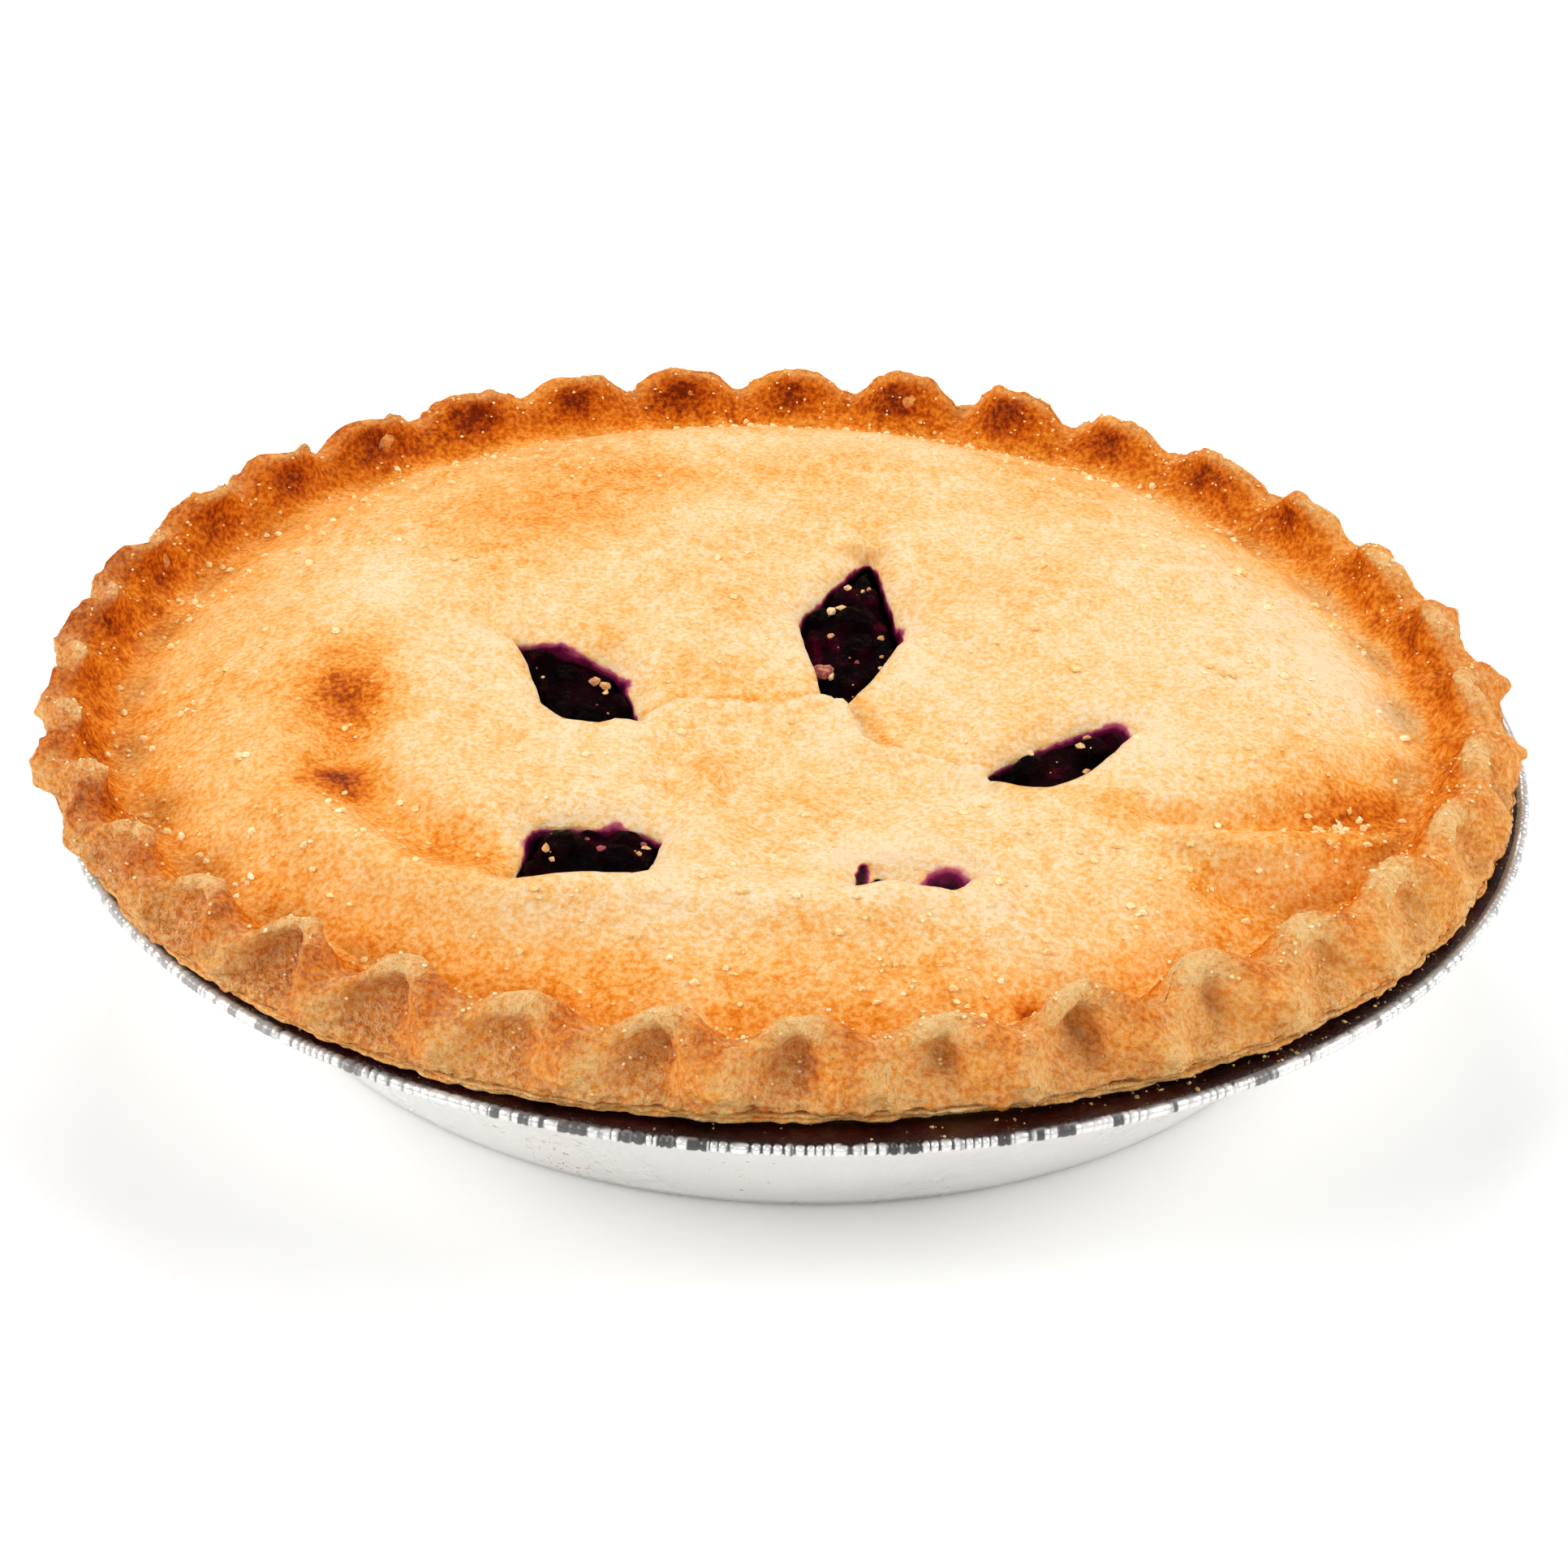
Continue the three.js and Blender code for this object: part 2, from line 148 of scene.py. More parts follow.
def noise(points, size, seed):
    """Smooth noise from -1 to 1 with blobs of a size, for an array of points."""
    scaled = points / size + np.array([17.37, 5.81, 9.13]) * (seed + 1)
    cell = np.floor(scaled).astype(np.int64)
    t = scaled - cell
    t = t * t * (3 - 2 * t)
    total = np.zeros(len(points))
    for corner in range(8):
        step = np.array([corner & 1, corner >> 1 & 1, corner >> 2 & 1])
        key = (cell + step) @ PRIMES + seed * 7919
        weight = np.where(step, t, 1 - t).prod(axis=1)
        total += LATTICE[(key ^ (key >> 13)) & 65535] * weight
    return total


def rough(points, size, octaves, seed):
    """Noise with finer and weaker noise on it."""
    return sum(noise(points, size / 2**k, seed + k) / 2**k for k in range(octaves))


def lumpy(points, terms):
    """Noise of several kinds: height, size of the blobs, octaves, seed."""
    return sum(height * rough(points, *kind) for height, *kind in terms)


def waves(terms, angle):
    return sum(size * np.cos(turns * (angle - math.radians(at))) for turns, size, at in terms)


def bell(distance, width):
    return np.exp(-((distance / width) ** 2))


def turn_from(angle, degrees):
    """The shortest signed turn in degrees from a bearing."""
    return (np.degrees(angle) - degrees + 180) % 360 - 180


def toward(angle, degrees, width):
    """1 at a bearing, fading to 0 away from it."""
    return bell(turn_from(angle, degrees), width)


def around(places, angle):
    """What places along the rim add up to: bearing, width, amount."""
    return sum(amount * toward(angle, at, width) for at, width, amount in places)


def step(low, high, value):
    """A smooth climb from 0 at low to 1 at high."""
    t = np.clip((value - low) / (high - low), 0, 1)
    return t * t * (3 - 2 * t)


def ring(count):
    return np.arange(count) * (2 * np.pi / count)


def on_plane(x, y):
    return np.stack([x, y, 0 * x], axis=-1)


def circle(radius, angle):
    return np.stack([radius * np.cos(angle), radius * np.sin(angle)], axis=1)


def outward(line):
    """Unit steps from a closed line's middle to each of its points."""
    middle = line.mean(axis=0)
    return (line - middle) / np.linalg.norm(line - middle, axis=1)[:, None]


def polar(radius, angle, z):
    return np.stack([radius * np.cos(angle), radius * np.sin(angle), z + 0 * angle], axis=-1)


def hoop(radius, count, z, **marks):
    """A level ring of points with the numbers that they carry. One point closes a sheet."""
    return polar(radius, ring(count), z), marks


# ---- Form of the crust ----
def flute_phase(angle):
    drift = np.radians(FLUTE_START + waves(FLUTE_DRIFT, angle))
    return (angle - drift) * FLUTES / (2 * np.pi)


def per_flute(phase, seed):
    """A seeded number from -1 to 1 for each flute, eased from one to the next."""
    values = np.random.default_rng(seed).uniform(-1, 1, FLUTES)
    index = np.floor(phase).astype(int)
    t = step(0, 1, phase - index)
    return values[index % FLUTES] * (1 - t) + values[(index + 1) % FLUTES] * t


def flute_strength(angle):
    return 1 + waves(STRENGTH_WAVES, angle) - around(SPREAD_STRETCHES, angle)


def flute_swing(angle, phase):
    turn = 2 * np.pi * (phase - SWING_PHASE)
    return flute_strength(angle) * np.sin(turn + FLUTE_SKEW * np.sin(turn))


def flute_lift(angle, phase):
    turn = 2 * np.pi * (phase - LIFT_PHASE)
    wave = np.cos(turn) - FLUTE_FLATNESS * np.cos(2 * turn)
    return flute_strength(angle) * (1 + waves(LIFT_WAVES, angle)) * wave


def crest_reach(angle):
    return CREST_RADIUS + waves(CREST_WAVES, angle)


def inset_at(x, y):
    """Distance inward from the rim's crest."""
    return crest_reach(np.arctan2(y, x)) - np.hypot(x, y)


def edge_reach(angle):
    return EDGE_RADIUS + waves(EDGE_WAVES, angle) - around(EDGE_DENTS, angle)


def lid_base(x, y):
    """Height of the lid without its small relief."""
    angle, radius = np.arctan2(y, x), np.hypot(x, y)
    climb = np.clip((inset_at(x, y) - TROUGH_INSET) / SHOULDER_WIDTH, 0, 1)
    dome = (PLATEAU_HEIGHT - TROUGH_HEIGHT) * (1 - (1 - climb) ** SHOULDER_POWER)
    sink = SINK_DEPTH * bell(np.hypot(x - STAMP[0], y - STAMP[1]), SINK_RADIUS)
    wander = waves(LID_WAVES, angle) * climb * np.minimum(1, radius / SINK_RADIUS)
    return TROUGH_HEIGHT + dome - sink + wander


def lid_underside(x, y):
    inset = inset_at(x, y)
    hang = step(LID_REST, LID_HANG, inset)
    return SEAM + (lid_base(x, y) - LID_THICKNESS - SEAM) * hang


# ---- Relief of the lid ----
# Ridges and valleys: points along the line, half width, height.
LID_LINES = [
    ([(50, -50), (65, -52.5), (77, -46.5), (94, -38)], 3.6, 2.9),
    ([(48, -43), (62, -44), (75, -38.5), (90, -29)], 2.8, -2.6),
    ([(58, -60), (74, -57), (88, -49)], 3.0, -1.7),
    ([(-80, -36), (-69, -53), (-57, -65.5), (-38, -72), (-18, -71), (9, -73), (30, -70)], 6.0, 2.0),
    ([(-69, -4), (-68, -20), (-66, -38), (-57, -52), (-47, -59), (-40, -65)], 6.0, -3.9),
    ([(64, -30), (80, -22), (96, -12)], 3.5, 1.0),
    ([(12.6, 50), (12.2, 42), (11.8, 33)], 2.2, -1.0),
    ([(-52, 11), (-48.5, 7), (-45, 3)], 1.8, -0.9),
    ([(-15, -47), (-12.5, -40), (-12, -33), (-14, -26)], 2.6, 1.2),
    ([(-19, -47), (-17, -39), (-17.5, -30)], 2.6, -1.0),
    ([(54, -21), (62, -15), (70, -12)], 2.4, -0.6),
]
# Blisters, dimples and holes: x, y, radii along x and y, height.
LID_SPOTS = [
    (-68, -16.5, 6.0, 7.5, 1.1),
    (-67, -39.5, 4.2, 4.6, 1.3),
    (-2.4, 50.6, 1.9, 1.9, 0.7),
    (76.8, 52.2, 2.2, 1.2, -0.9),
    (33.5, -87, 1.7, 1.3, -2.0),
    (-20, 34, 9, 7, 0.35),
    (40, 20, 10, 8, 0.3),
    (-9, -54, 8, 9, 1.1),
    (16, -66, 13, 6, 0.8),
    (-40, -4, 7, 9, 0.7),
]
# A short crack: its ends, half width, depth
CRACK = ((-62.2, -74.7), (-58.0, -78.4), 0.35, 1.4)
# The near flap's raised edge: bearing from the stamp's centre in degrees, distance from it.
TAB_EDGE = [(-25, 31), (-5, 28), (8, 18), (19, 13.5), (36, 12.2), (52, 13.2), (64, 17.5), (75, 20.2),
            (86, 17.4), (102, 16.5), (130, 19.5), (149, 25.5), (156, 27), (170, 31)]
# How far that edge stands up, and how far the crust behind it lies down
TAB_RAISE = 1.9
TAB_DROP = 1.0
# The slope into a vent from behind it: width, depth. The raised edge in front of it.
LIP_WIDTH = 6.5
LIP_DIP = 2.6
LIP_RAISE = 0.45
LID_LUMPS = [(0.75, 25, 2, 1), (0.34, 8, 2, 5)]
LID_GRAIN = [(0.12, 3.1, 3, 9)]
# A distance to the vents that counts as clear of them
CLEAR = 99.0


def nearest(x, y, a, b):
    """The point of a straight stretch nearest to each place: share along it, x, y, distance."""
    dx, dy = b - a
    t = np.clip(((x - a[0]) * dx + (y - a[1]) * dy) / (dx * dx + dy * dy + 1e-12), 0, 1)
    px, py = a[0] + t * dx, a[1] + t * dy
    return t, px, py, np.hypot(x - px, y - py)


def line_distance(x, y, points):
    """Distance from each place to a line through points, and how far along it, 0 to 1."""
    best = np.full(x.shape, 1e9)
    along = np.zeros(x.shape)
    spans = len(points) - 1
    for k in range(spans):
        t, _, _, away = nearest(x, y, *np.array(points[k:k + 2], float))
        closer = away < best
        best = np.where(closer, away, best)
        along = np.where(closer, (k + t) / spans, along)
    return best, along


def tab_place(x, y):
    """How far inside the flap's far edge a place lies, and how far the edge stands free."""
    away = np.hypot(x - STAMP[0], y - STAMP[1])
    bearing = turn_from(np.arctan2(y - STAMP[1], x - STAMP[0]), 75) + 75
    places, reaches = zip(*TAB_EDGE)
    edge = np.interp(bearing, places, reaches) + 0.5 * np.sin(np.radians(bearing * 9))
    held = step(-24, -8, bearing) * step(170, 157, bearing) * step(2, 8, away)
    return edge - away, held


def tab_rise(x, y):
    """The flap in the middle of the stamp: its far edge stands over the crust behind it."""
    inside, held = tab_place(x, y)
    over = TAB_RAISE * step(-0.45, 0.45, inside) * np.exp(-np.maximum(inside, 0) / 10)
    under = TAB_DROP * step(0.45, -0.45, inside) * np.exp(np.minimum(inside, 0) / 7)
    return held * (over - under)


def lid_lines(x, y):
    rise = np.zeros(x.shape)
    for points, width, height in LID_LINES:
        away, along = line_distance(x, y, points)
        rise += height * bell(away, width) * step(0, 0.2, along) * (0.4 + 0.6 * step(1, 0.8, along))
    return rise


def lid_spots(x, y):
    rise = np.zeros(x.shape)
    for cx, cy, rx, ry, height in LID_SPOTS:
        rise += height * bell(np.hypot((x - cx) / rx, (y - cy) / ry) ** 1.5, 1)
    away, _ = line_distance(x, y, CRACK[:2])
    return rise - CRACK[3] * bell(away, CRACK[2])


def lid_height(x, y, vent_gap, side=0.0):
    """Height of the lid's top face. vent_gap is the distance to the nearest vent's edge, and
    side is 1 behind the vent, where the crust slopes into it, and -1 in front of it."""
    flat = on_plane(x, y)
    inset = inset_at(x, y)
    calm = step(TROUGH_INSET - 1, TROUGH_INSET + 12, inset)
    lumps, grain = lumpy(flat, LID_LUMPS), lumpy(flat, LID_GRAIN)
    behind = step(-0.75, 0.5, side)
    dip = LIP_DIP * behind * (1 - np.clip(vent_gap / LIP_WIDTH, 0, 1)) ** 1.9
    raised = LIP_RAISE * (1 - behind) * bell(vent_gap - 2.5, 5.5)
    turned_in = 0.5 * (1 - behind) * bell(vent_gap, 0.8)
    detail = tab_rise(x, y) + lid_lines(x, y) + lid_spots(x, y)
    return lid_base(x, y) + lumps * (0.25 + 0.75 * calm) + grain + detail - dip + raised - turned_in


# ---- Vents ----
def vent_outline(corners, seed):
    """A closed line through the corners, a little rounded and uneven."""
    corners = np.array(corners)
    line = []
    for k, corner in enumerate(corners):
        before, after = corners[k - 1], corners[(k + 1) % len(corners)]
        start = corner + (before - corner) * VENT_CORNER
        end = corner + (after - corner) * VENT_CORNER
        for t in np.linspace(0, 1, 5):
            line.append((1 - t) ** 2 * start + 2 * t * (1 - t) * corner + t * t * end)
        leave = after + (corner - after) * VENT_CORNER
        spans = max(2, int(np.linalg.norm(leave - end) / 0.75))
        line += [end + (leave - end) * t for t in np.linspace(0, 1, spans + 1)[1:-1]]
    line = np.array(line)
    flat = np.column_stack([line, np.zeros(len(line))])
    return line + outward(line) * (VENT_GROWTH + 0.3 * rough(flat, 3.7, 2, 40 + seed))[:, None]


OUTLINES = [vent_outline(corners, k) for k, corners in enumerate(VENTS)]


def outline_sides(line):
    """How far each point of a vent's outline lies on the vent's far side, -1 to 1."""
    along = np.roll(line, -3, axis=0) - np.roll(line, 3, axis=0)
    return -along[:, 0] / np.linalg.norm(along, axis=1)


def outline_gap(x, y, line):
    """Signed distance to a closed line, negative inside, and the nearest point of the line."""
    best = np.full(x.shape, 1e9)
    near = np.zeros(x.shape + (2,))
    inside = np.zeros(x.shape, bool)
    for a, b in zip(line, np.roll(line, -1, axis=0)):
        _, px, py, away = nearest(x, y, a, b)
        closer = away < best
        best = np.where(closer, away, best)
        near[closer] = np.stack([px, py], axis=-1)[closer]
        crosses = (a[1] > y) != (b[1] > y)
        with np.errstate(divide="ignore", invalid="ignore"):
            inside ^= crosses & (x < (b[0] - a[0]) * (y - a[1]) / (b[1] - a[1]) + a[0])
    return np.where(inside, -best, best), near


def vent_gaps(x, y, inset=0.0):
    """Signed distance to the nearest vent's outline drawn in by inset, with the nearest point
    on it and the vent's number."""
    best, near, which = np.full(x.shape, 1e9), np.zeros(x.shape + (2,)), np.zeros(x.shape, int)
    for k, line in enumerate(OUTLINES):
        middle = line.mean(axis=0)
        close = np.hypot(x - middle[0], y - middle[1]) < 26
        if not close.any():
            continue
        gap, foot = outline_gap(x[close], y[close], drawn_in(line, inset))
        nearer = gap < best[close]
        index = np.flatnonzero(close)[nearer]
        best[index], near[index], which[index] = gap[nearer], foot[nearer], k
    return best, near, which


def drawn_in(line, inset):
    middle = line.mean(axis=0)
    reach = np.linalg.norm(line - middle, axis=1)[:, None]
    return middle + (line - middle) * np.maximum(0.3, 1 - np.reshape(inset, (-1, 1)) / reach)


# ---- Mesh building ----
class Shell:
    """Points and faces of a mesh under construction, with numbers carried by its points."""

    def __init__(self):
        self.points = np.zeros((0, 3))
        self.faces = []
        self.marks = {}

    def add(self, points, **marks):
        first = len(self.points)
        self.points = np.vstack([self.points, points])
        for name in set(self.marks) | set(marks):
            old = self.marks.get(name, np.zeros(first))
            new = np.broadcast_to(np.asarray(marks.get(name, 0.0), float), len(points))
            self.marks[name] = np.concatenate([old, new])
        return first

    def band(self, first_a, count_a, first_b, count_b):
        """Joins two closed rings that run the same way round."""
        if count_a == count_b:
            k = np.arange(count_a)
            n = (k + 1) % count_a
            quads = np.stack([first_a + k, first_a + n, first_b + n, first_b + k], axis=1)
            self.faces += quads.tolist()
            return
        i = j = 0
        while i < count_a or j < count_b:
            forward = (i + 1) * count_b <= (j + 1) * count_a
            a, a2 = first_a + i % count_a, first_a + (i + 1) % count_a
            b, b2 = first_b + j % count_b, first_b + (j + 1) % count_b
            if forward and count_a > 1:
                self.faces.append([a, a2, b])
            elif not forward and count_b > 1:
                self.faces.append([a, b2, b])
            i += forward
            j += not forward

    def rings(self, rows):
        """Skins over rings, each (points, marks); returns the first index of each."""
        firsts = []
        for points, marks in rows:
            firsts.append(self.add(points, **marks))
            if len(firsts) > 1:
                before = rows[len(firsts) - 2][0]
                self.band(firsts[-2], len(before), firsts[-1], len(points))
        return firsts

    def make(self, name, material, node=None, smooth=True):
        """The mesh object, riding on the frame's one body."""
        used = np.unique(np.concatenate([np.asarray(face) for face in self.faces]))
        places = np.full(len(self.points), -1)
        places[used] = np.arange(len(used))
        faces = [[int(places[k]) for k in face] for face in self.faces]
        mesh = bpy.data.meshes.new(name)
        mesh.from_pydata((self.points[used] / 1000).tolist(), [], faces)
        for mark, values in self.marks.items():
            layer = mesh.attributes.new(mark, "FLOAT", "POINT")
            layer.data.foreach_set("value", values[used].astype(np.float32))
        mesh.polygons.foreach_set("use_smooth", [smooth] * len(mesh.polygons))
        mesh.materials.append(material)
        piece = placed(name, mesh)
        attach(piece, "root")
        if node:
            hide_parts(node)
        return piece


def curved(rows, fineness):
    """Extra rows on a smooth curve through rows of points, fineness[k] after row k."""
    rows = np.asarray(rows)
    last = len(rows) - 1
    out = []
    for k in range(last):
        p0, p1, p2, p3 = rows[max(k - 1, 0)], rows[k], rows[k + 1], rows[min(k + 2, last)]
        for t in np.arange(fineness[k]) / fineness[k]:
            out.append(0.5 * (2 * p1 + (p2 - p0) * t + (2 * p0 - 5 * p1 + 4 * p2 - p3) * t**2
                              + (3 * p1 - p0 - 3 * p2 + p3) * t**3))
    out.append(rows[-1])
    return np.array(out)


def grid_normals(grid):
    """Outward normals of rows of closed rings."""
    along = np.roll(grid, -1, axis=1) - np.roll(grid, 1, axis=1)
    up = np.gradient(grid, axis=0)
    normal = np.cross(along, up)
    return normal / np.maximum(np.linalg.norm(normal, axis=-1, keepdims=True), 1e-9)


# ---- Rim ----
COLUMNS = FLUTES * 28
# spread to the edge, inset from the crest, height above the seam, swing, lift, press of the hollows
RIM_ROWS = [
    (0.0, 4.0, 0.0, 0.0, 0.0, 0.0),
    (0.9, 0.0, 0.0, 0.1, 0.0, 0.0),
    (1.0, 0.0, 0.75, 0.15, 0.0, 0.0),
    (0.98, 0.0, 1.45, 0.25, 0.0, 0.0),
    (0.90, 0.0, 2.2, 0.60, 0.0, 0.4),
    (0.83, 0.0, 3.4, 1.0, 0.08, 0.95),
    (0.67, 0.0, 5.2, 1.12, 0.35, 1.0),
    (0.46, 0.0, 6.9, 1.0, 0.75, 0.35),
    (0.22, 0.0, 8.1, 0.95, 0.95, 0.0),
    (0.0, 0.0, 8.6, 0.9, 1.0, 0.0),
    (0.0, 1.8, 7.9, 0.6, 0.9, 0.0),
    (0.0, 3.6, 5.9, 0.22, 0.5, 0.0),
    (0.0, 5.1, 3.4, -0.05, 0.15, 0.0),
    (0.0, 7.0, 1.8, -0.1, 0.0, 0.0),
    (0.0, 10.0, 1.4, 0.0, 0.0, 0.0),
]
RIM_FINENESS = [1, 3, 2, 3, 4, 5, 5, 4, 4, 4, 5, 5, 4, 4]
RIM_SWING = 3.0
# The hollow in each flute's left part, and the crease where it ends. Places are in flutes.
SCOOP_DEPTH = 2.3
SCOOP_PLACES = (0.36, 0.72, 0.93, 1.0)
GROOVE_DEPTH = 1.8
# The peak that hangs over the hollow, the bulge on its right, and the pocket inside the rim
BROW_REACH = 0.9
LOBE_REACH = 0.9
POCKET_DEPTH = 0.8
# Where in each flute they lie, and where its paint changes: place, width
GROOVE = (-0.01, 0.05)
BROW = (-0.17, 0.22)
LOBE = (0.13, 0.09)
POCKET = (0.03, 0.2)
CRUMBLY = (0.3, 0.28)
SLOPE = (0.2, 0.15)
VALLEY = (0.43, 0.11)
PEAK = (-0.14, 0.25)
# CREASE places the painted shade along each flute's crease
CREASE = (-0.015, 0.05)
LEAN_PHASE = 0.06
CREST_HEIGHT = 8.6
RIM_LUMPS = [(0.34, 4.2, 2, 20), (0.26, 1.8, 2, 23)]
EDGE_JAG = [(0.55, 3.1, 1, 35), (0.28, 1.2, 1, 36)]
# Where the flutes swing less and rise more, are shallow, and are crumbly: bearing, width
FAR_SIDE = (62, 62)
SHALLOW_SIDE = (325, 34)
CRUMBLY_SIDE = (200, 75)


def in_flute(phase, place, width):
    """1 at a place in every flute, fading to 0 on both sides of it."""
    return bell((phase - place + 0.5) % 1 - 0.5, width)


def scoop(phase):
    """1 in the hollow pressed into the left part of each flute, which ends sharply."""
    place = phase % 1
    return step(*SCOOP_PLACES[:2], place) * step(SCOOP_PLACES[3], SCOOP_PLACES[2], place)


def flute_folds(bent, height, inset, press):
    """How far the flutes' bulges and hollows stand out from their plain waves."""
    brow = (bell(height - 7.9, 1.1) - 0.7 * bell(height - 4.8, 1.6)) * (inset < 0.1)
    brow = brow * in_flute(bent, *BROW)
    lobe = bell(height - 4.8, 2.6) * in_flute(bent, *LOBE)
    groove = press**1.5 * in_flute(bent, *GROOVE)
    pressed = SCOOP_DEPTH * press * scoop(bent) + GROOVE_DEPTH * groove
    return BROW_REACH * brow + LOBE_REACH * lobe - pressed


def rim_grid():
    """Points of the rim's rows, with what the paint needs to know of each."""
    table = curved(RIM_ROWS, RIM_FINENESS)
    angle = ring(COLUMNS)[None, :]
    spread, inset, height, swing, lift, press = (table[:, k][:, None] for k in range(6))
    spread, press = np.clip(spread, 0, 1), np.maximum(press, 0)
    phase = flute_phase(angle)
    bent = phase + LEAN_PHASE * np.clip(height / CREST_HEIGHT, 0, 1) * (inset < 0.1)
    vary = 1 + 0.16 * per_flute(phase, 3)
    crest, edge = crest_reach(angle), edge_reach(angle)
    far = toward(angle, *FAR_SIDE)
    swing = swing * (1 - 0.55 * far * step(5.5, 8, height))
    depth = (1 + 0.45 * per_flute(phase, 4)) * np.clip((edge - crest) / 6, 0.25, 1)
    depth = depth * (1 - 0.35 * toward(angle, *SHALLOW_SIDE))
    radius = crest - inset + spread * (edge - crest)
    radius = radius + RIM_SWING * swing * vary * flute_swing(angle, bent)
    radius += depth * flute_folds(bent, height, inset, press)
    radius += POCKET_DEPTH * bell(inset - 3.4, 1.5) * in_flute(phase, *POCKET)
    wave = (1.12 + 0.2 * far) * FLUTE_LIFT * vary * flute_lift(angle, phase)
    rise = lift * (wave + waves(CREST_TILT, angle) + 0.35 * per_flute(phase, 5))
    grid = polar(radius, angle + 0 * radius, SEAM + height + rise)
    return settled(grid, inset), table, phase + 0 * radius, angle + 0 * radius


def settled(grid, inset):
    """The rim's rows with the innermost ones brought down on to the lid."""
    x, y, z = grid[..., 0], grid[..., 1], grid[..., 2]
    lid = lid_height(x.ravel(), y.ravel(), np.full(x.size, CLEAR)).reshape(z.shape)
    share = np.where(inset > 4.5, step(5.5, 10.0, inset), 0)
    grid[..., 2] = z * (1 - share) + lid * share
    return grid


def rim_relief(grid, table, phase, angle):
    """How far the rough surface stands out from the smooth one."""
    flat = grid.reshape(-1, 3)
    height, inset = table[:, 2][:, None], table[:, 1][:, None]
    outer = (inset < 0.1) & (np.arange(len(table))[:, None] > 0)
    left = toward(angle, *CRUMBLY_SIDE)
    lobe = in_flute(phase, *CRUMBLY)
    lumps = lumpy(flat, RIM_LUMPS)
    crumbs = np.maximum(0, rough(flat, 2.0, 2, 27) - 0.05).reshape(angle.shape)
    crumbly = crumbs * (0.45 + 0.65 * lobe * (0.5 + 0.5 * left)) * outer
    arc = angle * CREST_RADIUS
    layers = np.stack([arc / 5, 0 * arc, grid[..., 2] * 1.6], axis=-1).reshape(-1, 3)
    flaky = np.minimum(0, noise(layers, 1.0, 31) + 0.25).reshape(angle.shape)
    low = bell(height - 2.0, 2.2) * outer
    relief = lumps.reshape(angle.shape) + 1.1 * crumbly + 0.6 * flaky * low
    edge = bell(height - 0.7, 1.1) * outer
    relief = relief + edge * lumpy(flat * [1, 1, 0.3], EDGE_JAG).reshape(angle.shape)
    fade = step(0, 0.05, height + inset * 0 + 0.001) * step(10.0, 7.0, inset)
    fade[0] = 0
    return relief * fade


# Bake of the rim's outer side, its crown and its inner side, before the bearings count
SIDE_BAKE = 0.45
CROWN_BAKE = 0.57
INNER_BAKE = 0.58
# Bearings and widths of the rim's tones
RIM_BACK = (85, 70)
RIM_LEFT = (195, 60)
RIM_PALE = (318, 32)
RIM_BROWN = (160, 50)
RIM_SMOOTH = (325, 42)


def side_paint(height, phase, angle):
    """Bake and flour of the rim's outer side, with painted shade along each crease and, in part, in
    each hollow.
    """
    slope = in_flute(phase, *SLOPE)
    valley = in_flute(phase, *VALLEY)
    # The hollow is partly browner in its own colour and partly painted shade
    hollow = scoop(phase + 0.02) * bell(height - 3.6, 3.6)
    # Painted shade down the crease where each hollow ends
    crease = in_flute(phase, *CREASE) * bell(height - 4.6, 2.4)
    crease = crease * (1 - 0.9 * toward(angle, *RIM_SMOOTH))
    bake = SIDE_BAKE + 0.09 * hollow + 0.12 * slope - 0.08 * valley + 0.30 * crease
    bake = bake + 0.06 * toward(angle, *RIM_LEFT) - 0.08 * toward(angle, *RIM_PALE)
    return bake, 0.24 + 0.12 * hollow + 0.18 * valley


def crown_paint(phase, angle):
    """Bake and flour along the crest: floury peaks, brown slopes to the right of them."""
    back = toward(angle, *RIM_BACK)
    slope = in_flute(phase, *SLOPE)
    valley = in_flute(phase, *VALLEY)
    peak = in_flute(phase, *PEAK)
    bake = CROWN_BAKE + (0.14 * slope - 0.22 * peak) * (1 - back) - 0.03 * back
    bake = bake + 0.06 * toward(angle, *RIM_LEFT) - 0.05 * toward(angle, *RIM_PALE)
    return bake, 0.12 + (0.55 * peak + 0.2 * valley) * (1 - 0.7 * back)


def inner_bake(inset, phase, angle):
    """Bake of the rim's inner side, brownest in the pockets along the back."""
    back = toward(angle, *RIM_BACK)
    pocket = in_flute(phase, *POCKET) * bell(inset - 3.6, 2.0)
    bake = INNER_BAKE + 0.05 * toward(angle, *RIM_LEFT) + 0.08 * back
    bake = bake + 0.09 * toward(angle, 135, 30)
    bake = bake + 0.06 * toward(angle, 275, 70) * step(7.5, 3.5, inset)
    return bake + 0.30 * pocket * (0.4 + 0.6 * back)


def rim_paint(table, phase, angle):
    """Bake and flour of the rim by row, place in the flute and bearing."""
    height, inset = table[:, 2][:, None], table[:, 1][:, None]
    top = step(5.4, 8.2, height)
    side, side_flour = side_paint(height, phase, angle)
    crown, crown_flour = crown_paint(phase, angle)
    fall = step(1.0, 3.2, inset)
    bake = side * (1 - top) + crown * top + 0.06 * toward(angle, *RIM_BROWN)
    bake = bake * (1 - fall) + inner_bake(inset, phase, angle) * fall
    flour = (side_flour * (1 - top) + crown_flour * top) * (1 - fall)
    ledge = bell(height - 1.1, 1.1) * (inset < 0.1)
    return bake + 0.05 * ledge * step(1.2, 0.0, inset), flour + 0.1 * ledge
